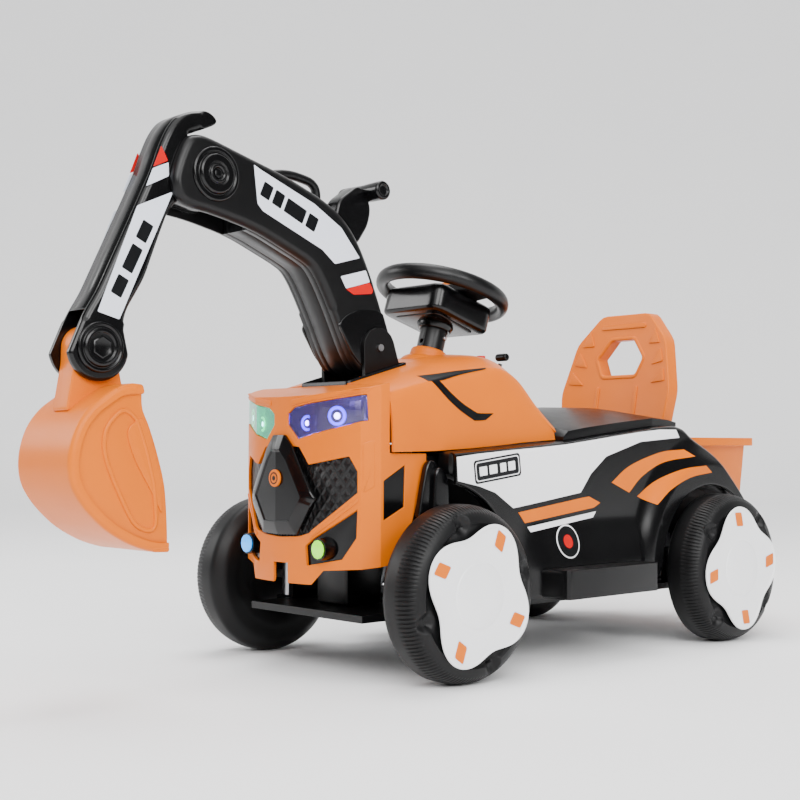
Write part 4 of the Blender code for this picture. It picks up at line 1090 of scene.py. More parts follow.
@dataclass
class Dipper:
    """The upper arm between the elbow and the bucket."""

    half: float = 0.0225
    fork: float = 0.0153
    front: tuple = (
        (-0.366, 0.360), (-0.3584, 0.377), (-0.3445, 0.399), (-0.325, 0.440), (-0.304, 0.484),
        (-0.284, 0.527), (-0.276, 0.550),
        (-0.267, 0.570), (-0.256, 0.5845), (-0.240, 0.5920), (-0.2225, 0.5955), (-0.212, 0.592),
        (-0.206, 0.584), (-0.226, 0.5745),
        (-0.243, 0.567),
    )
    rear: tuple = ((-0.250, 0.500), (-0.2640, 0.488), (-0.2775, 0.454), (-0.2921, 0.415), (-0.3135, 0.380),
                   (-0.316, 0.362))

    def build(self) -> None:
        """The arm, its prints and the bucket's hub discs."""
        eye = polar((-0.217, 0.528), 0.0345, 115, -110, 24)
        foot = polar((-0.343, 0.344), 0.0329, -10, -170, 24)
        line = np.concatenate([rounded(self.front, 0.010, 5, closed=False), eye,
                               rounded(self.rear, 0.010, 5, closed=False), foot])
        points = resampled(line, 300, closed=True)
        edge = np.where(points[:, 0] < -0.225, 0.0065, 0.002)
        edge = np.where(points[:, 1] < 0.370, 0.0035, edge)
        skin = plate(points, self.fork, self.half, edge, Axis.X, 7, 0.0003)
        skin += skin.mirrored()
        skin += plate(beyond(points, 1, 0.3808), -self.fork, self.fork, 0.00001, Axis.X, 1)
        add_piece("dipper_moulded", skin, BLACK_GLOSS, "dipper", ("dipper",), 50)
        self.prints()
        self.hub()

    def prints(self) -> None:
        """Pale films with a red tip on both cheeks and generic bars."""
        low = [(-0.3462, 0.3785), (-0.3222, 0.3722), (-0.2614, 0.5058), (-0.303, 0.4865)]
        high = [(-0.2856, 0.5261), (-0.2671, 0.5347), (-0.2667, 0.5207), (-0.2931, 0.5071)]
        red = [(-0.2758, 0.5505), (-0.2677, 0.5362), (-0.285, 0.5278)]
        for side, word in SIDES:
            x = self.half
            decal("dipper_panel_" + word, low, x, side, "dipper", FILM_PALE, 0.0002)
            decal("dipper_band_white_" + word, high, x, side, "dipper", FILM_PALE, 0.0002)
            decal("dipper_band_red_" + word, red, x, side, "dipper", FILM_RED, 0.0002)
            for count, bar in enumerate(band_blocks((-0.3265, 0.396), (-0.2860, 0.479), 0.013,
                                                    ((0, 0.22), (0.30, 0.60), (0.68, 0.9)))):
                decal(f"dipper_mark_{word}_{count}", bar, x, side, "dipper", FILM_DARK, 0.0003)

    def hub(self) -> None:
        """Round discs on both ends of the bucket's pin: an outer step, a groove and a domed middle."""
        for node, side in (("bucket_pin", 1), ("bucket_pin_cap", -1)):
            x = 0.0229
            profile = [
                (x - 0.0002, 0.0), (x - 0.0002, 0.0246), (x + 0.0016, 0.0249), (x + 0.0028, 0.0240),
                (x + 0.0030, 0.0222),
                (x + 0.0020, 0.0210), (x + 0.0020, 0.0196), (x + 0.0042, 0.0186), (x + 0.0047, 0.0165),
                (x + 0.0047, 0.0148),
                (x + 0.0036, 0.0138), (x + 0.0036, 0.0), 
            ]
            skin = turned(rounded(profile, 0.0005, 3, closed=False), (0, -0.343, 0.344), (1, 0, 0), 96)
            cone = [(x + 0.003, 0.0), (x + 0.003, 0.0118), (x + 0.0046, 0.0112), (x + 0.0050, 0.0098),
                    (x + 0.0042, 0.0066),
                    (x + 0.0042, 0.0)]
            skin += turned(cone, (0, -0.343, 0.344), (1, 0, 0), 6)
            add_piece(node + "_turned", skin.on_side(side), BLACK_GLOSS, "dipper", (node,), 30)


@dataclass
class Bucket:
    """The curved orange bucket: its shell, neck, side ribs and lip."""

    half: float = 0.054
    neck_half: float = 0.0145
    wall: float = 0.004
    back: tuple = (
        (-0.322, 0.308), (-0.335, 0.3065), (-0.345, 0.302), (-0.356, 0.295), (-0.369, 0.285),
        (-0.381, 0.270), (-0.3885, 0.251),
        (-0.3910, 0.232), (-0.3885, 0.214), (-0.380, 0.198), (-0.366, 0.182), (-0.348, 0.167),
        (-0.324, 0.154), (-0.300, 0.1465),
        (-0.284, 0.1460),
    )
    mouth: tuple = (
        (-0.2825, 0.1500), (-0.2835, 0.178), (-0.2865, 0.211), (-0.2945, 0.241), (-0.304, 0.268),
        (-0.3115, 0.285), (-0.3125, 0.303),
    )

    def build(self) -> None:
        """Shell with cheeks, raised side panels, ribs and the neck."""
        self.shell()
        self.cheeks()
        self.neck()

    def shell(self) -> None:
        """The back's curve as a thick panel across the width, its corners rounded towards the cheeks.

        Points: the back line moved inwards by up to 5 mm near both sides as a quarter circle, and again by the
        wall's thickness for the inner face.
        """
        line = resampled(smooth(self.back, 6), 90)
        along = np.gradient(line, axis=0)
        along /= np.linalg.norm(along, axis=1, keepdims=True)
        inward = np.stack([-along[:, 1], along[:, 0]], -1)
        share = np.sin(np.linspace(-np.pi / 2, np.pi / 2, 41))
        across = share * self.half
        drop = 0.005 * (1 - np.sqrt(np.clip(1
                                            - np.clip((np.abs(across) - self.half + 0.006) / 0.006, 0,
                                                      1) ** 2, 0, 1)))

        def face(depth: float) -> np.ndarray:
            """The back moved inwards by a depth."""
            moved = line[:, None] + inward[:, None] * (drop[None, :, None] + depth)
            x = np.broadcast_to(across, moved.shape[:2])
            return np.concatenate([x[..., None], moved], -1)

        skin = shell(face(0.0), face(self.wall))
        lip = resampled(rounded([(-0.3000, 0.1462), (-0.2835, 0.1455), (-0.2822, 0.1490),
                                 (-0.2890, 0.1535), (-0.3050, 0.1560)], 0.0016, 4), 40, closed=True)
        skin += plate(lip, -self.half + 0.001, self.half - 0.001, 0.001, Axis.X, 3)
        crest = rounded([(-0.3110, 0.2990), (-0.3130, 0.3080), (-0.3260, 0.3090), (-0.3420, 0.3040),
                         (-0.3380, 0.2960)], 0.003, 5)
        skin += plate(resampled(crest, 60, closed=True), -self.half + 0.001, self.half - 0.001, 0.0014,
                      Axis.X, 4)
        add_piece("bucket_shell", skin, ORANGE, "bucket", ("bucket",), 40)

    def cheeks(self) -> None:
        """Both side walls, each with a rim along the mouth, a rib of D shape and an inner raised panel."""
        whole = np.concatenate([resampled(smooth(self.back, 6), 120), resampled(smooth(self.mouth, 5), 60)])
        wall = inset(whole, 0.0012)
        rib = [(-0.334, 0.287), (-0.345, 0.279), (-0.355, 0.267), (-0.358, 0.251), (-0.355, 0.235),
               (-0.347, 0.216), (-0.333, 0.188),
               (-0.322, 0.170), (-0.303, 0.163), (-0.294, 0.172), (-0.297, 0.210), (-0.306, 0.245),
               (-0.318, 0.278)]
        panel = [(-0.314, 0.277), (-0.329, 0.267), (-0.330, 0.257), (-0.321, 0.234), (-0.305, 0.208),
                 (-0.290, 0.181), (-0.2915, 0.215),
                 (-0.300, 0.245), (-0.307, 0.268)]
        for side, word in SIDES:
            skin = plate(wall, self.half - 0.0075, self.half - 0.0030, 0.001, Axis.X, 3)
            outer, inner = rounded(rib, 0.012, 6), rounded(inset(np.array(rib), 0.0052), 0.008, 6)
            skin += self.ring(outer, inner, self.half - 0.0040, self.half - 0.0006)
            skin += plate(resampled(rounded(panel, 0.006, 5), 70, closed=True), self.half - 0.0040,
                          self.half - 0.0012, 0.0012, Axis.X, 4)
            add_piece("bucket_cheek_" + word, skin.on_side(side), ORANGE, "bucket", (), 40)

    def ring(self, outer: np.ndarray, inner: np.ndarray, low: float, high: float) -> Skin:
        """A raised rib between two outlines, its section a half ellipse from one to the other."""
        count = 160
        out, into = resampled(outer, count, closed=True), resampled(inner, count, closed=True)
        angle = np.linspace(0, np.pi, 11)
        share = (1 - np.cos(angle))[:, None, None] / 2
        middle = out[None] * (1 - share) + into[None] * share
        height = low + (high - low) * np.sin(angle)[:, None] ** 0.7
        points = Axis.X.place(middle[..., 0], middle[..., 1], np.broadcast_to(height, middle.shape[:2]))
        return Skin.grid(points, caps=False)

    def neck(self) -> None:
        """The open-fronted neck that holds the pin: two cheeks, a curved back and rounded rims."""
        shape = np.concatenate([
            [(-0.3740, 0.2820), (-0.3655, 0.3300)], polar((-0.343, 0.344), 0.0223, 180, -15, 22),
            [(-0.3165, 0.3210), (-0.3125, 0.3020)],
        ])
        outline = resampled(rounded(shape, 0.003, 4), 130, closed=True)
        skin = plate(outline, -self.neck_half, self.neck_half, 0.0014, Axis.X, 4)
        add_piece("bucket_neck", skin, ORANGE, "bucket", (), 40)


# ---------------------------------------------------------------- body


@dataclass
class Body:
    """The black main shell: side skins with rear fenders, skirts, running boards and films."""

    half: float = 0.1402
    rear_axle: tuple[float, float] = (0.477, 0.094)
    arch: float = 0.1045
    waist: tuple = (
        (0.0235, 0.2415), (0.110, 0.2472), (0.205, 0.2540), (0.300, 0.2648), (0.387, 0.2738),
        (0.430, 0.2738), (0.455, 0.2615),
        (0.490, 0.2392), (0.530, 0.2052), (0.560, 0.1752), (0.5915, 0.1345), (0.5955, 0.0950),
    )

    def build(self) -> None:
        """Base shell, side skins, boards and films."""
        rounded_copy("body_shell", BLACK, "root", 0.0020)
        for side, word in SIDES:
            skin = self.side_skin()
            piece = add_piece("body_side_" + word, skin.on_side(side), BLACK_GLOSS, "root", (),
                              40)
            self.board(side, word)
            if side > 0:
                target = piece
        for side, word in SIDES:
            self.films(target, side, word)

    def low(self, y: np.ndarray) -> np.ndarray:
        """The lower edge: both wheel arches as circles, and the sill between them."""
        front = 0.094 + np.sqrt(np.clip(0.1165**2 - y**2, 0, None))
        rear = self.rear_axle[1] + np.sqrt(np.clip(self.arch**2 - (y - self.rear_axle[0]) ** 2, 0, None))
        low = np.where(y < 0.1165, front, 0.0745)
        return np.where(np.abs(y - self.rear_axle[0]) < self.arch, rear, low)

    def swell(self, y: np.ndarray, z: np.ndarray) -> np.ndarray:
        """How far the side stands out: 13 mm round the rear arch, falling off with a smooth step of the distance
        to the axle, and 9 mm on the skirt above the running board."""
        away = np.hypot(y - self.rear_axle[0], (z - self.rear_axle[1]) * 0.93)
        fender = 0.0135 * ease((0.157 - away) / 0.036) * ease((z - 0.085) / 0.03 + 0.4)
        skirt = 0.011 * ease((0.165 - z) / 0.060) * ease((y - 0.118) / 0.05) * ease((0.372 - y) / 0.04)
        return np.maximum(fender, skirt)

    def side_skin(self) -> Skin:
        """Grid over the side: y along, and between the lower edge and the waist in height."""
        arches = self.rear_axle[0] + self.arch * np.sin(np.linspace(-np.pi / 2, np.pi / 2, 90))
        front = 0.1165 * np.sin(np.linspace(0.205, np.pi / 2, 50))
        y = np.unique(np.concatenate([front, np.linspace(0.118, 0.372, 110), arches,
                                      np.linspace(0.582, 0.5955, 14)]).round(6))
        waist = smooth(self.waist, 10)
        top = np.interp(y, waist[:, 0], waist[:, 1])
        low = np.minimum(self.low(y), top - 0.004)
        share = np.linspace(0, 1, 64)[:, None]
        z = low + (top - low) * share
        x = self.half + self.swell(y[None], z)
        roll = np.clip((z - (top - 0.007)) / 0.007, 0, 1)
        x = x - 0.006 * (1 - np.sqrt(1 - roll**2))
        edge = np.clip((low + 0.0022 - z) / 0.0022, 0, 1)
        x = x - 0.0018 * (1 - np.sqrt(1 - edge**2))
        outer = np.stack([x, np.broadcast_to(y, x.shape), z], -1)
        inner = outer.copy()
        inner[..., 0] = np.minimum(x - 0.0035, self.half + self.swell(y[None], z) - 0.0035)
        return shell(outer, inner)

    def board(self, side: int, word: str) -> None:
        """A running board whose top falls a little outwards, with two shallow tread lines."""
        plan = rounded([(0.138, 0.150), (0.1790, 0.157), (0.1848, 0.164), (0.1848, 0.318), (0.1790, 0.325),
                        (0.138, 0.332)], 0.008, 6)
        skin = plate(resampled(plan, 120, closed=True), 0.0765, 0.1085, 0.0045, Axis.Z, 6)
        for x in (0.158, 0.168):
            line = rounded([(x, 0.175), (x + 0.004, 0.175), (x + 0.004, 0.307), (x, 0.307)], 0.0019, 4)
            skin += plate(line, 0.1080, 0.1094, 0.0008, Axis.Z, 3)
        add_piece("running_board_" + word, skin.on_side(side), BLACK, "root", (), 40)

    def films(self, target: bpy.types.Object, side: int, word: str) -> None:
        """White panel, stripes and badges, all without lettering."""
        pieces = [
            Film("panel_white_", ((0.0262, 0.2110), (0.060, 0.2045), (0.085, 0.197), (0.114, 0.179),
                                  (0.170, 0.186), (0.231, 0.194),
                                  (0.250, 0.216), (0.279, 0.2365), (0.347, 0.2545), (0.427, 0.2600)),
                 ((0.0245, 0.2370), (0.060, 0.2405), (0.110, 0.2442), (0.160, 0.2474), (0.205, 0.2508),
                  (0.250, 0.2557), (0.300, 0.2615),
                  (0.345, 0.2664), (0.387, 0.2700), (0.4205, 0.2702)), FILM_WHITE, 0.0003, columns=160,
                  rows=24, straight=True),
            Film("stripe_orange_", ((0.133, 0.1615), (0.255, 0.1756), (0.267, 0.181)),
                 ((0.122, 0.174), (0.2350, 0.1880), (0.2465, 0.189)),
                 FILM_ORANGE, 0.0004, straight=True),
            Film("stripe_white_", ((0.142, 0.151), (0.253, 0.164)), ((0.137, 0.157), (0.2586, 0.171)),
                 FILM_WHITE, 0.0004, straight=True),
            Film("fender_stripe_front_", ((0.323, 0.192), (0.350, 0.212), (0.394, 0.229), (0.449, 0.236)),
                 ((0.289, 0.205), (0.325, 0.225), (0.385, 0.241), (0.433, 0.2450)), FILM_ORANGE, 0.0004,
                 columns=110),
            Film("fender_stripe_rear_", ((0.367, 0.176), (0.393, 0.195), (0.432, 0.209), (0.479, 0.215)),
                 ((0.339, 0.187), (0.376, 0.207), (0.420, 0.220), (0.466, 0.224)), FILM_ORANGE, 0.0004,
                 columns=110),
        ]
        for film in pieces:
            Film(film.name + word, film.first, film.second, film.finish, film.lift, film.slot,
                 film.columns, film.rows,
                 film.straight).lay(target, Axis.X, side)
        self.badge(target, side, word)

    def badge(self, target: bpy.types.Object, side: int, word: str) -> None:
        """A dark plate with a pale border and plain bars, and a round mark of a ring with a dot."""
        turn = math.radians(7)
        frame_axes = np.array([[math.cos(turn), math.sin(turn)], [-math.sin(turn), math.cos(turn)]])
        base = np.array([0.0885, 0.2242])
        for label, size, finish, lift in (("ink", (0.0375, 0.0130), FILM_DARK, 0.0005),
                                          ("rim", (0.0352, 0.0108), FILM_WHITE, 0.0006),
                                          ("field", (0.0340, 0.0096), FILM_DARK, 0.0007)):
            self.box_film(f"badge_{label}_{word}", base, frame_axes, (0, 0), size, finish, lift, target,
                          side)
        for count, (u, w) in enumerate(((-0.0235, 0.0060), (-0.0075, 0.0062), (0.0085, 0.0048),
                                        (0.0225, 0.0056))):
            self.box_film(f"badge_bar_{count}_{word}", base, frame_axes, (u, 0), (w, 0.0050), FILM_WHITE,
                          0.0009, target, side)
        centre = np.array([0.202, 0.138])
        for label, r, finish, lift in (("ring_edge", 0.0195, FILM_WHITE, 0.0004),
                                       ("ring_field", 0.0178, FILM_DARK, 0.0006),
                                       ("ring_dot", 0.0078, FILM_RED, 0.0008)):
            turn = np.linspace(0, np.pi, 40)
            low = tuple(map(tuple, centre + r * np.stack([-np.cos(turn), -np.sin(turn)], -1)))
            high = tuple(map(tuple, centre + r * np.stack([-np.cos(turn), np.sin(turn)], -1)))
            Film(f"badge_{label}_{word}", low, high, finish, lift, Slot.WHITE, 60, 16, True).lay(target,
                    Axis.X, side)

    def box_film(self, name: str, base: np.ndarray, axes: np.ndarray, offset: Sequence[float],
                 size: Sequence[float], finish: Finish, lift: float, target: bpy.types.Object,
                 side: int) -> None:
        """A film of a small turned rectangle with rounded ends."""
        u = np.array([-1, -0.975, -0.93, 0.93, 0.975, 1.0]) * size[0]
        v = np.array([0.72, 0.90, 1.0, 1.0, 0.90, 0.72]) * size[1]
        low = base + np.stack([u + offset[0], -v + offset[1]], -1) @ axes
        high = base + np.stack([u + offset[0], v + offset[1]], -1) @ axes
        Film(name, tuple(map(tuple, low)), tuple(map(tuple, high)), finish, lift, Slot.WHITE, 60, 8,
             True).lay(target, Axis.X, side)


@dataclass
class SeatGroup:
    """The lift-up seat, the seat back with its embossing, and the bin."""

    def build(self) -> None:
        """Seat, back and bin."""
        rounded_copy("seat_lid", BLACK, "seat", 0.0030)
        self.back()
        self.bin()

    def front(self, x: np.ndarray, z: np.ndarray) -> np.ndarray:
        """The seat back's front face: it leans back with height and curves forward towards its edges."""
        return 0.476 + 0.20 * (z - 0.320) - 0.9 * x * x

    def back(self) -> None:
        """A bent rounded plate with a raised hexagonal rim, bar and side ribs."""
        rounded_copy("seat_back", ORANGE_SOFT, "root", 0.0045, 4)
        hexagon = [(-0.028, 0.348), (0.028, 0.348), (0.0385, 0.371), (0.019, 0.397), (-0.019, 0.397),
                   (-0.0385, 0.371)]
        outer = resampled(rounded(inset(np.array(hexagon), -0.0060), 0.006, 5), 120, closed=True)
        inner = resampled(rounded(np.array(hexagon), 0.004, 5), 120, closed=True)
        angle = np.linspace(0, np.pi, 9)
        share = ((1 - np.cos(angle)) / 2)[:, None, None]
        middle = outer[None] * (1 - share) + inner[None] * share
        rise = 0.0018 * np.sin(angle)[:, None]
        y = self.front(middle[..., 0], middle[..., 1]) + 0.0004 - rise
        skin = Skin.grid(np.stack([middle[..., 0], y, middle[..., 1]], -1), caps=False)
        marks = [[(0.058, 0.3350), (0.083, 0.3370), (0.079, 0.3550)],
                 [(0.0555, 0.3600), (0.0770, 0.3640), (0.0700, 0.3830)],
                 [(0.0470, 0.3900), (0.0680, 0.3900), (0.0560, 0.4120)],
                 [(-0.040, 0.4130), (0.040, 0.4130), (0.036, 0.4205), (-0.036, 0.4205)],
                 [(0.030, 0.2900), (0.036, 0.2900), (0.036, 0.3320), (0.030, 0.3320)]]
        for mark in marks:
            for sign in (1, -1):
                outline = resampled(rounded(np.array(mark) * (sign, 1), 0.0028, 4), 40, closed=True)
                flat = plate(outline, -0.0016, 0.0010, 0.0009, Axis.Y, 3)
                skin += flat.bent(lambda p: np.stack([p[:, 0], p[:, 1] + self.front(p[:, 0], p[:, 2]),
                                                      p[:, 2]], -1))
        add_piece("seat_back_embossing", skin, ORANGE_SOFT, "root", (), 40)

    def bin(self) -> None:
        """The tray with a rolled rim."""
        rounded_copy("rear_bin", ORANGE, "root", 0.0018)
        plan = resampled(rounded([(-0.1, 0.482), (0.1, 0.482), (0.1, 0.664), (-0.1, 0.664)], 0.012, 6),
                         200, closed=True)
        outer = inset(plan, 0.0008)
        turn = np.linspace(0, 2 * np.pi, 12, endpoint=False)
        rings = [np.concatenate([inset(outer, 0.0030 - 0.0030 * math.cos(t)),
                                 np.full((200, 1), 0.2555 + 0.0052 * math.sin(t))], 1) for t in turn]
        add_piece("rear_bin_rim", Skin.grid(np.stack(rings), wrap_rows=True, caps=False), ORANGE, "root",
                  (), 60)


# ---------------------------------------------------------------- hood and front


@dataclass
class Hood:
    """The orange hood: an arched skin with the boom's well, a collar and two dark inlays."""

    half: float = 0.117
    wall: float = 0.003
    well: float = 0.0405
    column_foot: tuple[float, float] = (0.1103, 0.340)
    stations: tuple = (
        (-0.0465, 0.2425, 0.306, 0.3190, 0.105), (0.010, 0.2435, 0.320, 0.3350, 0.107),
        (0.0405, 0.2450, 0.3270, 0.3435, 0.107),
        (0.070, 0.2465, 0.333, 0.3510, 0.107), (0.120, 0.2500, 0.339, 0.3590, 0.106),
        (0.155, 0.2530, 0.328, 0.3530, 0.105),
        (0.185, 0.2550, 0.300, 0.3270, 0.107), (0.203, 0.2560, 0.282, 0.2980, 0.110),
        (0.2125, 0.2565, 0.272, 0.2850, 0.113),
    )

    def build(self) -> None:
        """Skin, collar, inlays and controls."""
        piece = add_piece("hood_moulded", self.skin(), ORANGE, "root", ("hood_cover",), 42)
        self.collar()
        self.inlays(piece)
        self.controls()

    def arch(self, sink: float) -> np.ndarray:
        """Cross-sections from one lower edge over the crown to the other, smoothed both ways.

        Args:
            sink: How far inside the outer skin.

        Returns:
            A grid of stations by columns.
        """
        s = np.asarray(self.stations)
        y, low, shoulder, crown, wide = (s[:, i][:, None] for i in range(5))
        one = np.ones_like(y)
        x = np.concatenate([(self.half - sink) * one, (self.half - 0.0015 - sink) * one, wide + 0.0052
                            - sink, wide - 0.003 - sink,
                            wide * 0.72 - sink, self.well * one, 0.02 * one, 0 * one], 1)
        z = np.concatenate([low, low + 0.55 * (shoulder - low), shoulder - 0.006, shoulder + 0.0025
                            - sink * 0.7,
                            shoulder + 0.72 * (crown - shoulder) - sink, shoulder
                            + 0.93 * (crown - shoulder) - sink,
                            crown - 0.0004 - sink, crown - sink], 1)
        half = np.stack([x, np.broadcast_to(y, x.shape), z], -1)
        whole = np.concatenate([half, half[:, -2::-1] * (-1, 1, 1)], 1)
        rows = smooth(whole.reshape(len(whole), -1), 14).reshape(-1, whole.shape[1], 3)
        turned_round = rows.transpose(1, 0, 2)
        columns = smooth(turned_round.reshape(len(turned_round), -1), 8).reshape(-1, rows.shape[0], 3)
        return columns.transpose(1, 0, 2)

    def skin(self) -> Skin:
        """Outer and inner grids without the squares over the boom's well and the column."""
        outer, inner = self.arch(0.0), self.arch(self.wall)
        middle = (outer[:-1, :-1] + outer[1:, 1:]) / 2
        over_well = (np.abs(middle[..., 0]) < self.well) & (middle[..., 1] < 0.0405)
        over_column = np.hypot(middle[..., 0], middle[..., 1] - 0.1135) < 0.0195
        over_lever = np.hypot(middle[..., 0] - 0.030, (middle[..., 1] - 0.1945) * 0.9) < 0.0110
        over_switch = np.hypot(middle[..., 0] - 0.055, middle[..., 1] - 0.150) < 0.0068
        return shell(outer, inner, ~(over_well | over_column | over_lever | over_switch))

    def collar(self) -> None:
        """A raised cup round the steering column and a thin lip round the boom's well."""
        axis = np.array([0.0, 0.2907, 0.9568])
        foot = np.array([0.0, self.column_foot[0], self.column_foot[1]])
        profile = [(-0.004, 0.0185), (0.0225, 0.0178), (0.0245, 0.0186), (0.0246, 0.0206),
                   (0.0228, 0.0222), (0.012, 0.0232),
                   (0.0125, 0.0262), (0.0105, 0.0300), (0.004, 0.0345), (-0.004, 0.0350)]
        skin = turned(rounded(profile, 0.0022, 4, closed=True), foot, axis, 96, closed=True)
        add_piece("hood_collar", skin, ORANGE, "root", (), 40)
        outline = rounded([(-0.0425, -0.047), (0.0425, -0.047), (0.0425, 0.0425), (-0.0425, 0.0425)],
                          0.005, 5)
        outline = resampled(outline, 200, closed=True)
        hole = inset(outline, 0.0024)
        height = np.interp(outline[:, 1], [-0.0465, 0.010, 0.0405, 0.07],
                           [0.3190, 0.3348, 0.3430, 0.3510])[:, None]
        rings = [(outline, -0.004), (outline, 0.0010), (inset(outline, 0.0006), 0.0018),
                 (inset(outline, 0.0018), 0.0018), (hole, 0.0010),
                 (hole, -0.004)]
        points = np.stack([np.concatenate([ring, height + lift], 1) for ring, lift in rings])
        add_piece("hood_well_lip", Skin.grid(points, wrap_rows=True, caps=False), BLACK, "root",
                  (), 40)

    def inlays(self, target: bpy.types.Object) -> None:
        """A dark mark on each side: a bar along the shoulder, a leg from its front end, and a foot."""
        for side, word in SIDES:
            Film("hood_inlay_bar_" + word,
                 ((0.011, 0.3200), (0.030, 0.3215), (0.060, 0.3290), (0.100, 0.3365)),
                 ((0.009, 0.3265), (0.030, 0.3290), (0.060, 0.3335), (0.103, 0.3385)), FILM_DARK, 0.0007,
                 Slot.BLACK).lay(target, Axis.X, side)
            Film("hood_inlay_leg_" + word,
                 ((0.009, 0.3265), (0.030, 0.3060), (0.052, 0.2900), (0.076, 0.2775)),
                 ((0.024, 0.3225), (0.040, 0.3085), (0.060, 0.2955), (0.084, 0.2845)), FILM_DARK, 0.0008,
                 Slot.BLACK).lay(target, Axis.X, side)
            Film("hood_inlay_foot_" + word, ((0.076, 0.2775), (0.086, 0.2778), (0.094, 0.2785)),
                 ((0.080, 0.2860), (0.092, 0.2858), (0.107, 0.2862)), FILM_DARK, 0.0008,
                 Slot.BLACK).lay(target, Axis.X, side)

    def controls(self) -> None:
        """The drive lever with a round knob, the power button, and the dark rings that they stand in."""
        foot, knob = np.array([0.030, 0.192, 0.306]), np.array([0.030, 0.2135, 0.359])
        along = (knob - foot) / np.linalg.norm(knob - foot)
        stalk = turned([(0, 0), (0, 0.0034), (0.048, 0.0026), (0.048, 0)], foot, along, 24)
        head = turned(rounded([(-0.0088, 0), (-0.0088, 0.0048), (0.0088, 0.0048), (0.0088, 0)], 0.003, 6,
                              closed=False), knob, (1, 0, 0), 40)
        add_piece("drive_lever_moulded", stalk + head, BLACK_GLOSS, "drive_lever",
                  ("drive_lever",), 40)
        base = foot + along * 0.0025
        ring = [(-0.003, 0.0102), (0.0022, 0.0102), (0.0030, 0.0112), (0.0030, 0.0138), (0.0018, 0.0152),
                (-0.003, 0.0155)]
        skin = turned(ring, base, (0, 0.55, 0.83), 64, closed=True)
        add_piece("drive_lever_ring", skin, BLACK, "root", (), 40)
        place = (0.055, 0.150, 0.344)
        cap = rounded([(0.0, 0.0), (0.0, 0.0054), (0.0128, 0.0054), (0.0128, 0.0)], 0.0012, 4, closed=False)
        add_piece("power_switch_cap", turned(cap, place, (0, 0, 1), 48), FILM_RED, "power_switch",
                  ("power_switch",), 40)
        ring = [(0.0005, 0.0062), (0.0042, 0.0062), (0.0050, 0.0070), (0.0050, 0.0084), (0.0038, 0.0098),
                (-0.0008, 0.0100)]
        add_piece("power_switch_ring", turned(ring, place, (0, 0, 1), 64, closed=True), BLACK, "root",
                  (), 40)


def front_line(x: np.ndarray) -> np.ndarray:
    """The swept front in plan: blunt at the middle, turning back towards the sides."""
    return np.interp(np.abs(x), [0, 0.05, 0.10, 0.112], [-0.108, -0.104, -0.078, -0.060])


def swept(outline: np.ndarray, low: float, high: float, edge: float, steps: int = 3) -> Skin:
    """A plate seen from ahead, as (x, z), bent to the swept front; low and high are depths."""
    skin = plate(outline, low, high, edge, Axis.Y, steps)
    return skin.bent(lambda p: np.stack([p[:, 0], p[:, 1] + front_line(p[:, 0]), p[:, 2]], -1))


@dataclass(frozen=True)
class LampColours:
    """The two light finishes of one side's lamps: the headlamp's rings and the fog lamp."""

    ring: Finish
    glass: Finish
    fog: Finish


NEAR = LampColours(
    # Light-emitting ring behind a tinted cover: saturated violet with a soft halo.
    Finish("led_ring_violet", "#4A22FF", "#5B30FF", 0.3, 0.05, 0.001, 0.00001, 0.01, glow=5.5),
    # Polycarbonate, tinted faint violet and polished.
    Finish("polycarbonate_violet_tint", "#C9B9FF", "#B9A6FF", 0.06, 0.03, 0.003, 0.000008, 0.02, ior=1.585,
           clear=0.94),
    Finish("polycarbonate_green_lens", "#7CE80E", "#A6F52A", 0.10, 0.04, 0.0012, 0.00008, 0.004, ior=1.585,
           glow=0.9),
)
FAR = LampColours(
    Finish("led_ring_teal", "#16E39A", "#26F0B0", 0.3, 0.05, 0.001, 0.00001, 0.01, glow=3.0),
    Finish("polycarbonate_teal_tint", "#5FE8BE", "#4BD9B2", 0.08, 0.03, 0.003, 0.000008, 0.02, ior=1.585,
           clear=0.75, glow=0.12),
    Finish("polycarbonate_blue_lens", "#1493FF", "#2FB4FF", 0.10, 0.04, 0.0012, 0.00008, 0.004, ior=1.585,
           glow=1.1),
)
# White hot core of a light-emitting diode.
LED_CORE = Finish("led_core_white", "#E9E4FF", "#F4F1FF", 0.3, 0.05, 0.001, 0.00001, 0.01, glow=14.0)
# Dark violet reflector bowl, metallised over tinted plastic.
REFLECTOR = Finish("metallised_violet_bowl", "#3A3560", "#59508F", 0.18, 0.08, 0.002, 0.0002, 0.006,
                   metallic=1.0)


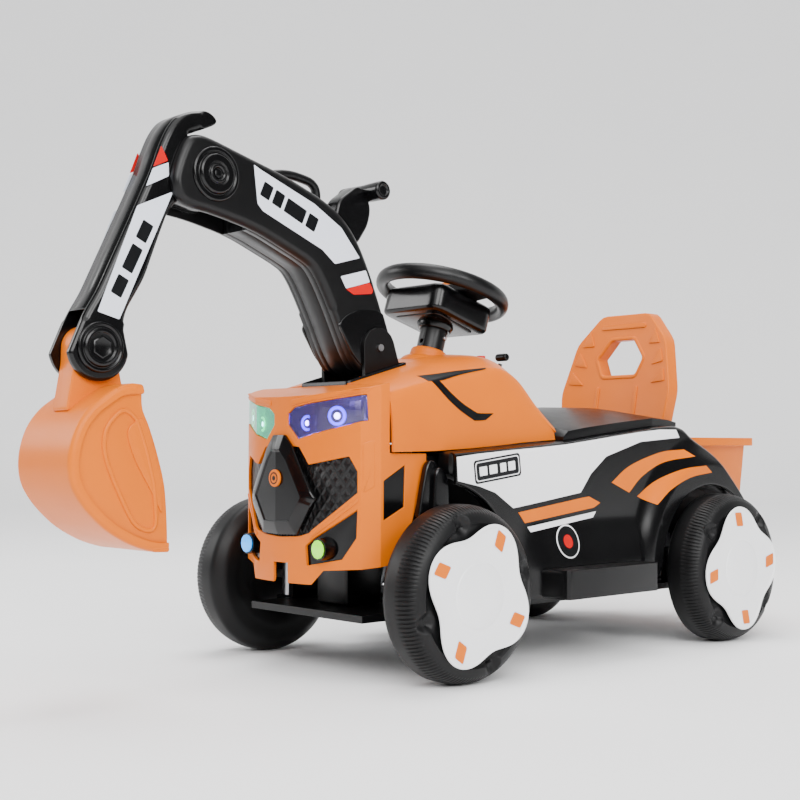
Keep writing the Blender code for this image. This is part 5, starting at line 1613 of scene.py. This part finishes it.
@dataclass
class Front:
    """The orange front frame with lamps, grille, shield, emblem, side vents and fender posts."""

    def build(self) -> None:
        """Frame first, then what it holds."""
        rounded_copy("front_fascia", ORANGE, "root", 0.0022, 4)
        rounded_copy("grille_panel", GRILLE, "root", 0.0004)
        self.shield()
        for side, word in SIDES:
            self.headlamp(side, word, NEAR if side > 0 else FAR)
            self.fog(side, word, NEAR if side > 0 else FAR)
            rounded_copy("side_vent_" + word, BLACK_GLOSS, "root", 0.0003)
            self.strips(side, word)
            self.post(side, word)

    def shield(self) -> None:
        """A black six-sided shield of bevelled facets with a round orange emblem: a ring and a dot."""
        half = [(0.0, 0.153), (0.030, 0.154), (0.056, 0.192), (0.024, 0.246), (0.010, 0.261), (0.0, 0.261)]
        outline = mirrored_outline(half)
        dense = resampled(rounded(outline, 0.0012, 3), 240, closed=True)
        middle = dense.mean(0)
        rows = ((0.0, -0.0004), (0.0, -0.0030), (0.02, -0.0036), (0.26, -0.0075), (0.28, -0.0076),
                (0.31, -0.0062), (0.97, -0.0062))
        rings = []
        for pull, depth in rows:
            ring = dense + (middle - dense) * pull
            rings.append(np.stack([ring[:, 0], front_line(ring[:, 0]) + depth, ring[:, 1]], -1))
        add_piece("grille_shield_moulded", Skin.grid(np.stack(rings)), BLACK_GLOSS, "root",
                  ("grille_shield",), 22)
        y = float(front_line(np.array([0.0]))[0]) - 0.0056
        centre = (0, y, 0.214)
        disc = rounded([(0.0, 0.0), (0.0, 0.0094), (0.0026, 0.0094), (0.0030, 0.0088), (0.0030, 0.0)],
                       0.0004, 3, closed=False)
        add_piece("emblem_disc_printed", turned(disc, centre, (0, -1, 0), 64), FILM_ORANGE, "root",
                  ("emblem_disc",), 40)
        ring = [(0.0028, 0.0052), (0.0033, 0.0052), (0.0033, 0.0066), (0.0028, 0.0066)]
        dot = turned([(0.0028, 0.0), (0.0028, 0.0026), (0.0033, 0.0026), (0.0033, 0.0)], centre,
                     (0, -1, 0), 32)
        add_piece("emblem_mark", turned(ring, centre, (0, -1, 0), 64, closed=True) + dot, FILM_DARK,
                  "root", (), 40)

    def headlamp(self, side: int, word: str, colours: LampColours) -> None:
        """A dark bowl with two lit rings and facets behind a clear cover."""
        rounded_copy("headlamp_housing_" + word, REFLECTOR, "root", 0.0006)
        rounded_copy("headlamp_lens_" + word, colours.glass, "root", 0.0006)
        rings, cores = None, None
        for x, z, r in ((0.040, 0.2735, 0.0086), (0.073, 0.2810, 0.0106)):
            centre = (x, float(front_line(np.array([x]))[0]) + 0.0045, z)
            facing = np.array([0.42, -0.90, 0.0])
            ring = turned([(-0.0003, r * 0.66), (0.0012, r * 0.70), (0.0012, r * 0.96), (-0.0003, r)],
                          centre, facing, 64, closed=True)
            dot = turned([(-0.0002, 0.0), (-0.0002, r * 0.36), (0.0008, r * 0.30), (0.0010, 0.0)], centre,
                         facing, 40)
            rings = ring if rings is None else rings + ring
            cores = dot if cores is None else cores + dot
        facets = None
        for count, (u, w, depth) in enumerate(((0.0885, 0.0030, 0.0044), (0.0945, 0.0030, 0.0036),
                                               (0.1000, 0.0026, 0.0044))):
            shape = np.array([(u - w, 0.2790 + 0.0010 * count), (u + w, 0.2800 + 0.0010 * count),
                              (u + w, 0.2975), (u - w, 0.2960)])
            part = swept(resampled(rounded(shape, 0.0008, 3), 40, closed=True), depth, 0.0046, 0.0002, 1)
            facets = part if facets is None else facets + part
        add_piece("headlamp_facets_" + word, facets.on_side(side), MIRROR, "root", (), 20)
        add_piece("headlamp_rings_" + word, rings.on_side(side), colours.ring, "root", (), 40)
        add_piece("headlamp_cores_" + word, cores.on_side(side), LED_CORE, "root", (), 40)

    def fog(self, side: int, word: str, colours: LampColours) -> None:
        """A black recess with a barrel that holds a faceted lens."""
        rounded_copy("fog_bezel_" + word, BLACK_GLOSS, "root", 0.0005)
        x = 0.0635
        centre = (x, float(front_line(np.array([x]))[0]) - 0.0089, 0.1395)
        profile = [(0.0, 0.0), (0.0, 0.0099), (0.0012, 0.0099), (0.0022, 0.0085), (0.0025, 0.0060),
                   (0.0028, 0.0035), (0.0028, 0.0)]
        skin = turned(profile, centre, (0, -1, 0), 12)
        add_piece("fog_lens_" + word, skin.on_side(side), colours.fog, "root",
                  ("fog_lamp_lens_" + word,), 10)

    def post(self, side: int, word: str) -> None:
        """A dark upright behind the frame: a rounded plate with a second, raised one on it."""
        plate_out = [(-0.0160, 0.170), (0.0215, 0.170), (0.0215, 0.214), (0.0120, 0.2310),
                     (0.0040, 0.2345), (-0.0030, 0.2290), (-0.0100, 0.2000)]
        skin = plate(resampled(rounded(plate_out, 0.008, 6), 90, closed=True), 0.1145, 0.1230, 0.0022,
                     Axis.X, 5)
        inner = [(0.0015, 0.172), (0.0250, 0.172), (0.0250, 0.2100), (0.0180, 0.2230), (0.0110, 0.2270),
                 (0.0045, 0.2220)]
        skin += plate(resampled(rounded(inner, 0.008, 6), 90, closed=True), 0.1200, 0.1290, 0.0030, Axis.X,
                      6)
        add_piece("fender_post_" + word, skin.on_side(side), BLACK_GLOSS, "root", (), 40)

    def strips(self, side: int, word: str) -> None:
        """Three raised ridges on the orange frame: the brow over the lamp, the cheek and the chin."""
        brow = [(0.018, 0.2925), (0.104, 0.3055), (0.1085, 0.3115), (0.018, 0.2990)]
        cheek = [(0.1015, 0.1990), (0.1085, 0.2060), (0.1085, 0.2560), (0.1015, 0.2520)]
        chin = [(0.048, 0.1490), (0.098, 0.1900), (0.0985, 0.1955), (0.045, 0.1515)]
        skin = None
        for outline in (brow, cheek, chin):
            shape = resampled(rounded(outline, 0.0022, 4), 80, closed=True)
            part = swept(shape, -0.0012, 0.0010, 0.0011)
            skin = part if skin is None else skin + part
        add_piece("front_ridges_" + word, skin.on_side(side), ORANGE, "root", (), 40)


@dataclass
class Steering:
    """The wheel, its hub box, the column and the controls in the wheel's plane."""

    centre: tuple[float, float, float] = (0.0, 0.139, 0.4345)
    ring: float = 0.0745

    def basis(self) -> tuple[np.ndarray, np.ndarray]:
        """The wheel's normal, leaning back, and the direction across it towards the rear."""
        return np.array([0.0, 0.2907, 0.9568]), np.array([0.0, 0.9568, -0.2907])

    def build(self) -> None:
        """Rim, spokes, hub box, sleeve, column and buttons."""
        normal, across = self.basis()
        centre = np.array(self.centre)
        turn = np.linspace(0, 2 * np.pi, 160, endpoint=False)[:, None]
        tube = np.linspace(0, 2 * np.pi, 28, endpoint=False)[None, :]
        seam = 1 - 0.05 * np.exp(-(((tube - np.pi / 2) / 0.10) ** 2))
        out = self.ring + 0.0078 * np.cos(tube) * seam
        up = 0.0098 * np.sin(tube) * seam
        radial = np.cos(turn)[..., None] * np.array([1.0, 0, 0]) + np.sin(turn)[..., None] * across
        points = centre + out[..., None] * radial + up[..., None] * normal
        skin = Skin.grid(points, wrap_rows=True, caps=False)
        spokes = self.in_plane([(-0.0705, -0.012), (-0.030, -0.018), (0.030, -0.018), (0.0705, -0.012),
                                (0.0705, 0.014), (0.030, 0.022), (-0.030, 0.022),
                                (-0.0705, 0.014)], -0.0060, 0.0040, 0.0022, 0.007)
        add_piece("steering_wheel_moulded", skin + spokes, BLACK, "steering",
                  ("steering_wheel",), 45)
        box = self.in_plane([(-0.050, -0.050), (0.050, -0.050), (0.050, 0.046), (-0.050, 0.046)], -0.0400,
                            -0.0066, 0.0055, 0.016)
        panel = self.in_plane([(-0.038, -0.036), (0.038, -0.036), (0.034, 0.034), (-0.034, 0.034)],
                              -0.0412, -0.0390, 0.0010, 0.010)
        add_piece("steering_hub_moulded", box + panel, BLACK_GLOSS, "steering",
                  ("steering_hub_box",), 40)
        add_piece("horn_pad_moulded", self.in_plane([(-0.018, -0.012), (0.018, -0.012), (0.018, 0.014),
                                                     (-0.018, 0.014)], 0.0059, 0.0095, 0.0012,
                                                     0.005), FILM_ORANGE, "horn",
                                                     ("horn_pad",), 40)
        for sign, word in ((1, "left"), (-1, "right")):
            place = centre + np.array([sign * 0.036, 0, 0])
            cap = rounded([(0.0059, 0.0), (0.0059, 0.0085), (0.0095, 0.0085), (0.0095, 0.0)], 0.0010, 4,
                          closed=False)
            add_piece(f"music_button_{word}_moulded", turned(cap, place, normal, 40), FILM_RED, "music_"
                      + word,
                      ("music_button_" + word,), 40)
        rounded_copy("steering_column", ZINC, "steering", 0.0004)
        rounded_copy("column_sleeve", BLACK, "steering", 0.0006)
        flange = rounded([(-0.0480, 0.0168), (-0.0480, 0.0205), (-0.0412, 0.0225), (-0.0405, 0.0168)],
                         0.0008, 3, closed=True)
        bolt = turned(rounded([(-0.001, 0.0), (-0.001, 0.0034), (0.0022, 0.0034), (0.0028, 0.0024),
                               (0.0028, 0.0)], 0.0004, 2, closed=False),
                      (0.0150, 0.1275, 0.3790), (0.90, 0.42, -0.1), 24)
        add_piece("column_flange", turned(flange, centre, normal, 64, closed=True), BLACK_GLOSS,
                  "steering", (), 40)
        add_piece("column_bolt", bolt, ZINC, "steering", (), 40)

    def in_plane(self, outline: Points, low: float, high: float, edge: float, corner: float) -> Skin:
        """A rounded plate in the wheel's plane, given as (x, across)."""
        shape = resampled(rounded(outline, corner, 6), 140, closed=True)
        skin = plate(shape, low, high, edge, Axis.Z, 5)
        normal, across = self.basis()
        frame_axes = np.stack([np.array([1.0, 0, 0]), across, normal])
        return skin.bent(lambda p: np.array(self.centre) + p @ frame_axes)


# ---------------------------------------------------------------- whole toy


def dress_inner_nodes() -> None:
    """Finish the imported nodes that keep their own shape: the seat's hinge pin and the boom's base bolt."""
    for node in ("seat_hinge_pin", "boom_base_bolt"):
        dress(node, ZINC)


@dataclass(frozen=True)
class CarriedOver:
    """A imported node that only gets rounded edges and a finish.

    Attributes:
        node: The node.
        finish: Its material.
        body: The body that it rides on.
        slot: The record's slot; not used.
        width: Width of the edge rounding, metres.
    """

    node: str
    finish: Finish
    body: str
    slot: Slot
    width: float

    def build(self) -> None:
        """Add the rounded copy."""
        rounded_copy(self.node, self.finish, self.body, self.width)


def assemblies() -> list:
    """Every sub-assembly in building order."""
    return [
        RunningGear(),
        Boom(),
        Dipper(),
        Bucket(),
        CarriedOver("boom_pedestal", BLACK, "root", Slot.BLACK, 0.0015),
        CarriedOver("boom_bracket", BLACK, "root", Slot.BLACK, 0.0018),
        Steering(),
        Hood(),
        Front(),
        Body(),
        SeatGroup(),
        CarriedOver("foot_pedal", BLACK, "pedal", Slot.BLACK, 0.0012),
    ]


# ---------------------------------------------------------------- studio


@dataclass
class Studio:
    """Pale floor, soft lights and the camera.

    Attributes:
        eye: The camera's place, vehicle coordinates.
        aim: The direction it looks along.
        lens: Focal length in millimetres, on a 36 mm sensor.
        sweep: Half the floor's size.
    """

    eye: tuple[float, float, float] = (1.172, -1.001, 0.247)
    aim: tuple[float, float, float] = (-0.738, 0.674, 0.0356)
    lens: float = 60.4
    sweep: float = 30.0

    def build(self) -> None:
        """Add the floor, the lights, the world and the camera."""
        self.floor()
        self.sun()
        self.light("key_light", (2.2, -1.9, 2.0), (0.0, 0.1, 0.30), 1.6, 60.0)
        self.light("side_light", (3.2, -0.3, 1.5), (0.0, 0.2, 0.20), 1.2, 50.0)
        self.light("top_light", (-0.4, 0.2, 2.6), (0.0, 0.15, 0.2), 1.4, 46.0)
        self.light("far_light", (-2.2, -1.9, 1.4), (0.0, -0.2, 0.3), 1.2, 34.0)
        self.world()
        self.camera()

    def floor(self) -> None:
        """A wide pale floor that curves up into a wall behind the toy."""
        aim = np.array([self.aim[0], self.aim[1]]) / math.hypot(self.aim[0], self.aim[1])
        profile = np.concatenate([[(-self.sweep, 0.0)], polar((4.5, 2.5), 2.5, -90, 0, 24),
                                  [(7.0, self.sweep)]])
        across = np.linspace(-self.sweep, self.sweep, 3)[:, None]
        x = profile[None, :, 0] * aim[0] - across * aim[1]
        y = profile[None, :, 0] * aim[1] + across * aim[0]
        z = np.broadcast_to(profile[None, :, 1], x.shape)
        skin = Skin.grid(np.stack([x, y, z], -1)[::-1], wrap_columns=False, caps=False)
        mesh = bpy.data.meshes.new("studio_floor")
        mesh.from_pydata(skin.points.tolist(), [], skin.faces)
        paper = Finish("paper_backdrop_white", "#FAFAFA", "#F6F6F7", 0.85, 0.03, 0.004, 0.00001, 0.5)
        mesh.materials.append(paper.material())
        mesh.shade_smooth()
        obj = bpy.data.objects.new("studio_floor", mesh)
        bpy.context.scene.collection.objects.link(obj)

    def sun(self) -> None:
        """A wide, even light from above and ahead that reaches the whole floor and the wall alike."""
        lamp = bpy.data.lights.new("sky_panel", "SUN")
        lamp.energy = 3.2
        lamp.angle = math.radians(75)
        obj = bpy.data.objects.new("sky_panel", lamp)
        obj.rotation_euler = Vector((-0.62, 0.50, -1.0)).to_track_quat("-Z", "Y").to_euler()
        bpy.context.scene.collection.objects.link(obj)

    def light(self, name: str, place: tuple, target: tuple, size: float, power: float) -> None:
        """A square soft light that faces a point."""
        lamp = bpy.data.lights.new(name, "AREA")
        lamp.size = size
        lamp.energy = power
        obj = bpy.data.objects.new(name, lamp)
        obj.location = Vector(place)
        obj.rotation_euler = (Vector(target) - Vector(place)).to_track_quat("-Z", "Y").to_euler()
        bpy.context.scene.collection.objects.link(obj)

    def world(self) -> None:
        """An even white surround."""
        world = bpy.data.worlds.new("studio_surround")
        world.use_nodes = True
        back = world.node_tree.nodes["Background"]
        back.inputs["Color"].default_value = linear("#FFFFFF")
        back.inputs["Strength"].default_value = 0.16
        bpy.context.scene.world = world

    def camera(self) -> None:
        """The camera, level with the toy and slightly below its middle, looking up a little."""
        lens = bpy.data.cameras.new("camera")
        lens.lens = self.lens
        lens.sensor_width = 36.0
        lens.clip_start = 0.05
        obj = bpy.data.objects.new("camera", lens)
        obj.location = Vector(np.array(self.eye) + SHIFT)
        obj.rotation_euler = Vector(self.aim).to_track_quat("-Z", "Y").to_euler()
        bpy.context.scene.collection.objects.link(obj)
        bpy.context.scene.camera = obj


def main() -> None:
    """Build every sub-assembly in order and report each one."""
    logging.basicConfig(level=logging.INFO, format="%(message)s")
    Studio().build()
    LOG.info("studio")
    dress_inner_nodes()
    for assembly in assemblies():
        assembly.build()
        LOG.info("%s", type(assembly).__name__)


if __name__ == "__main__":
    main()
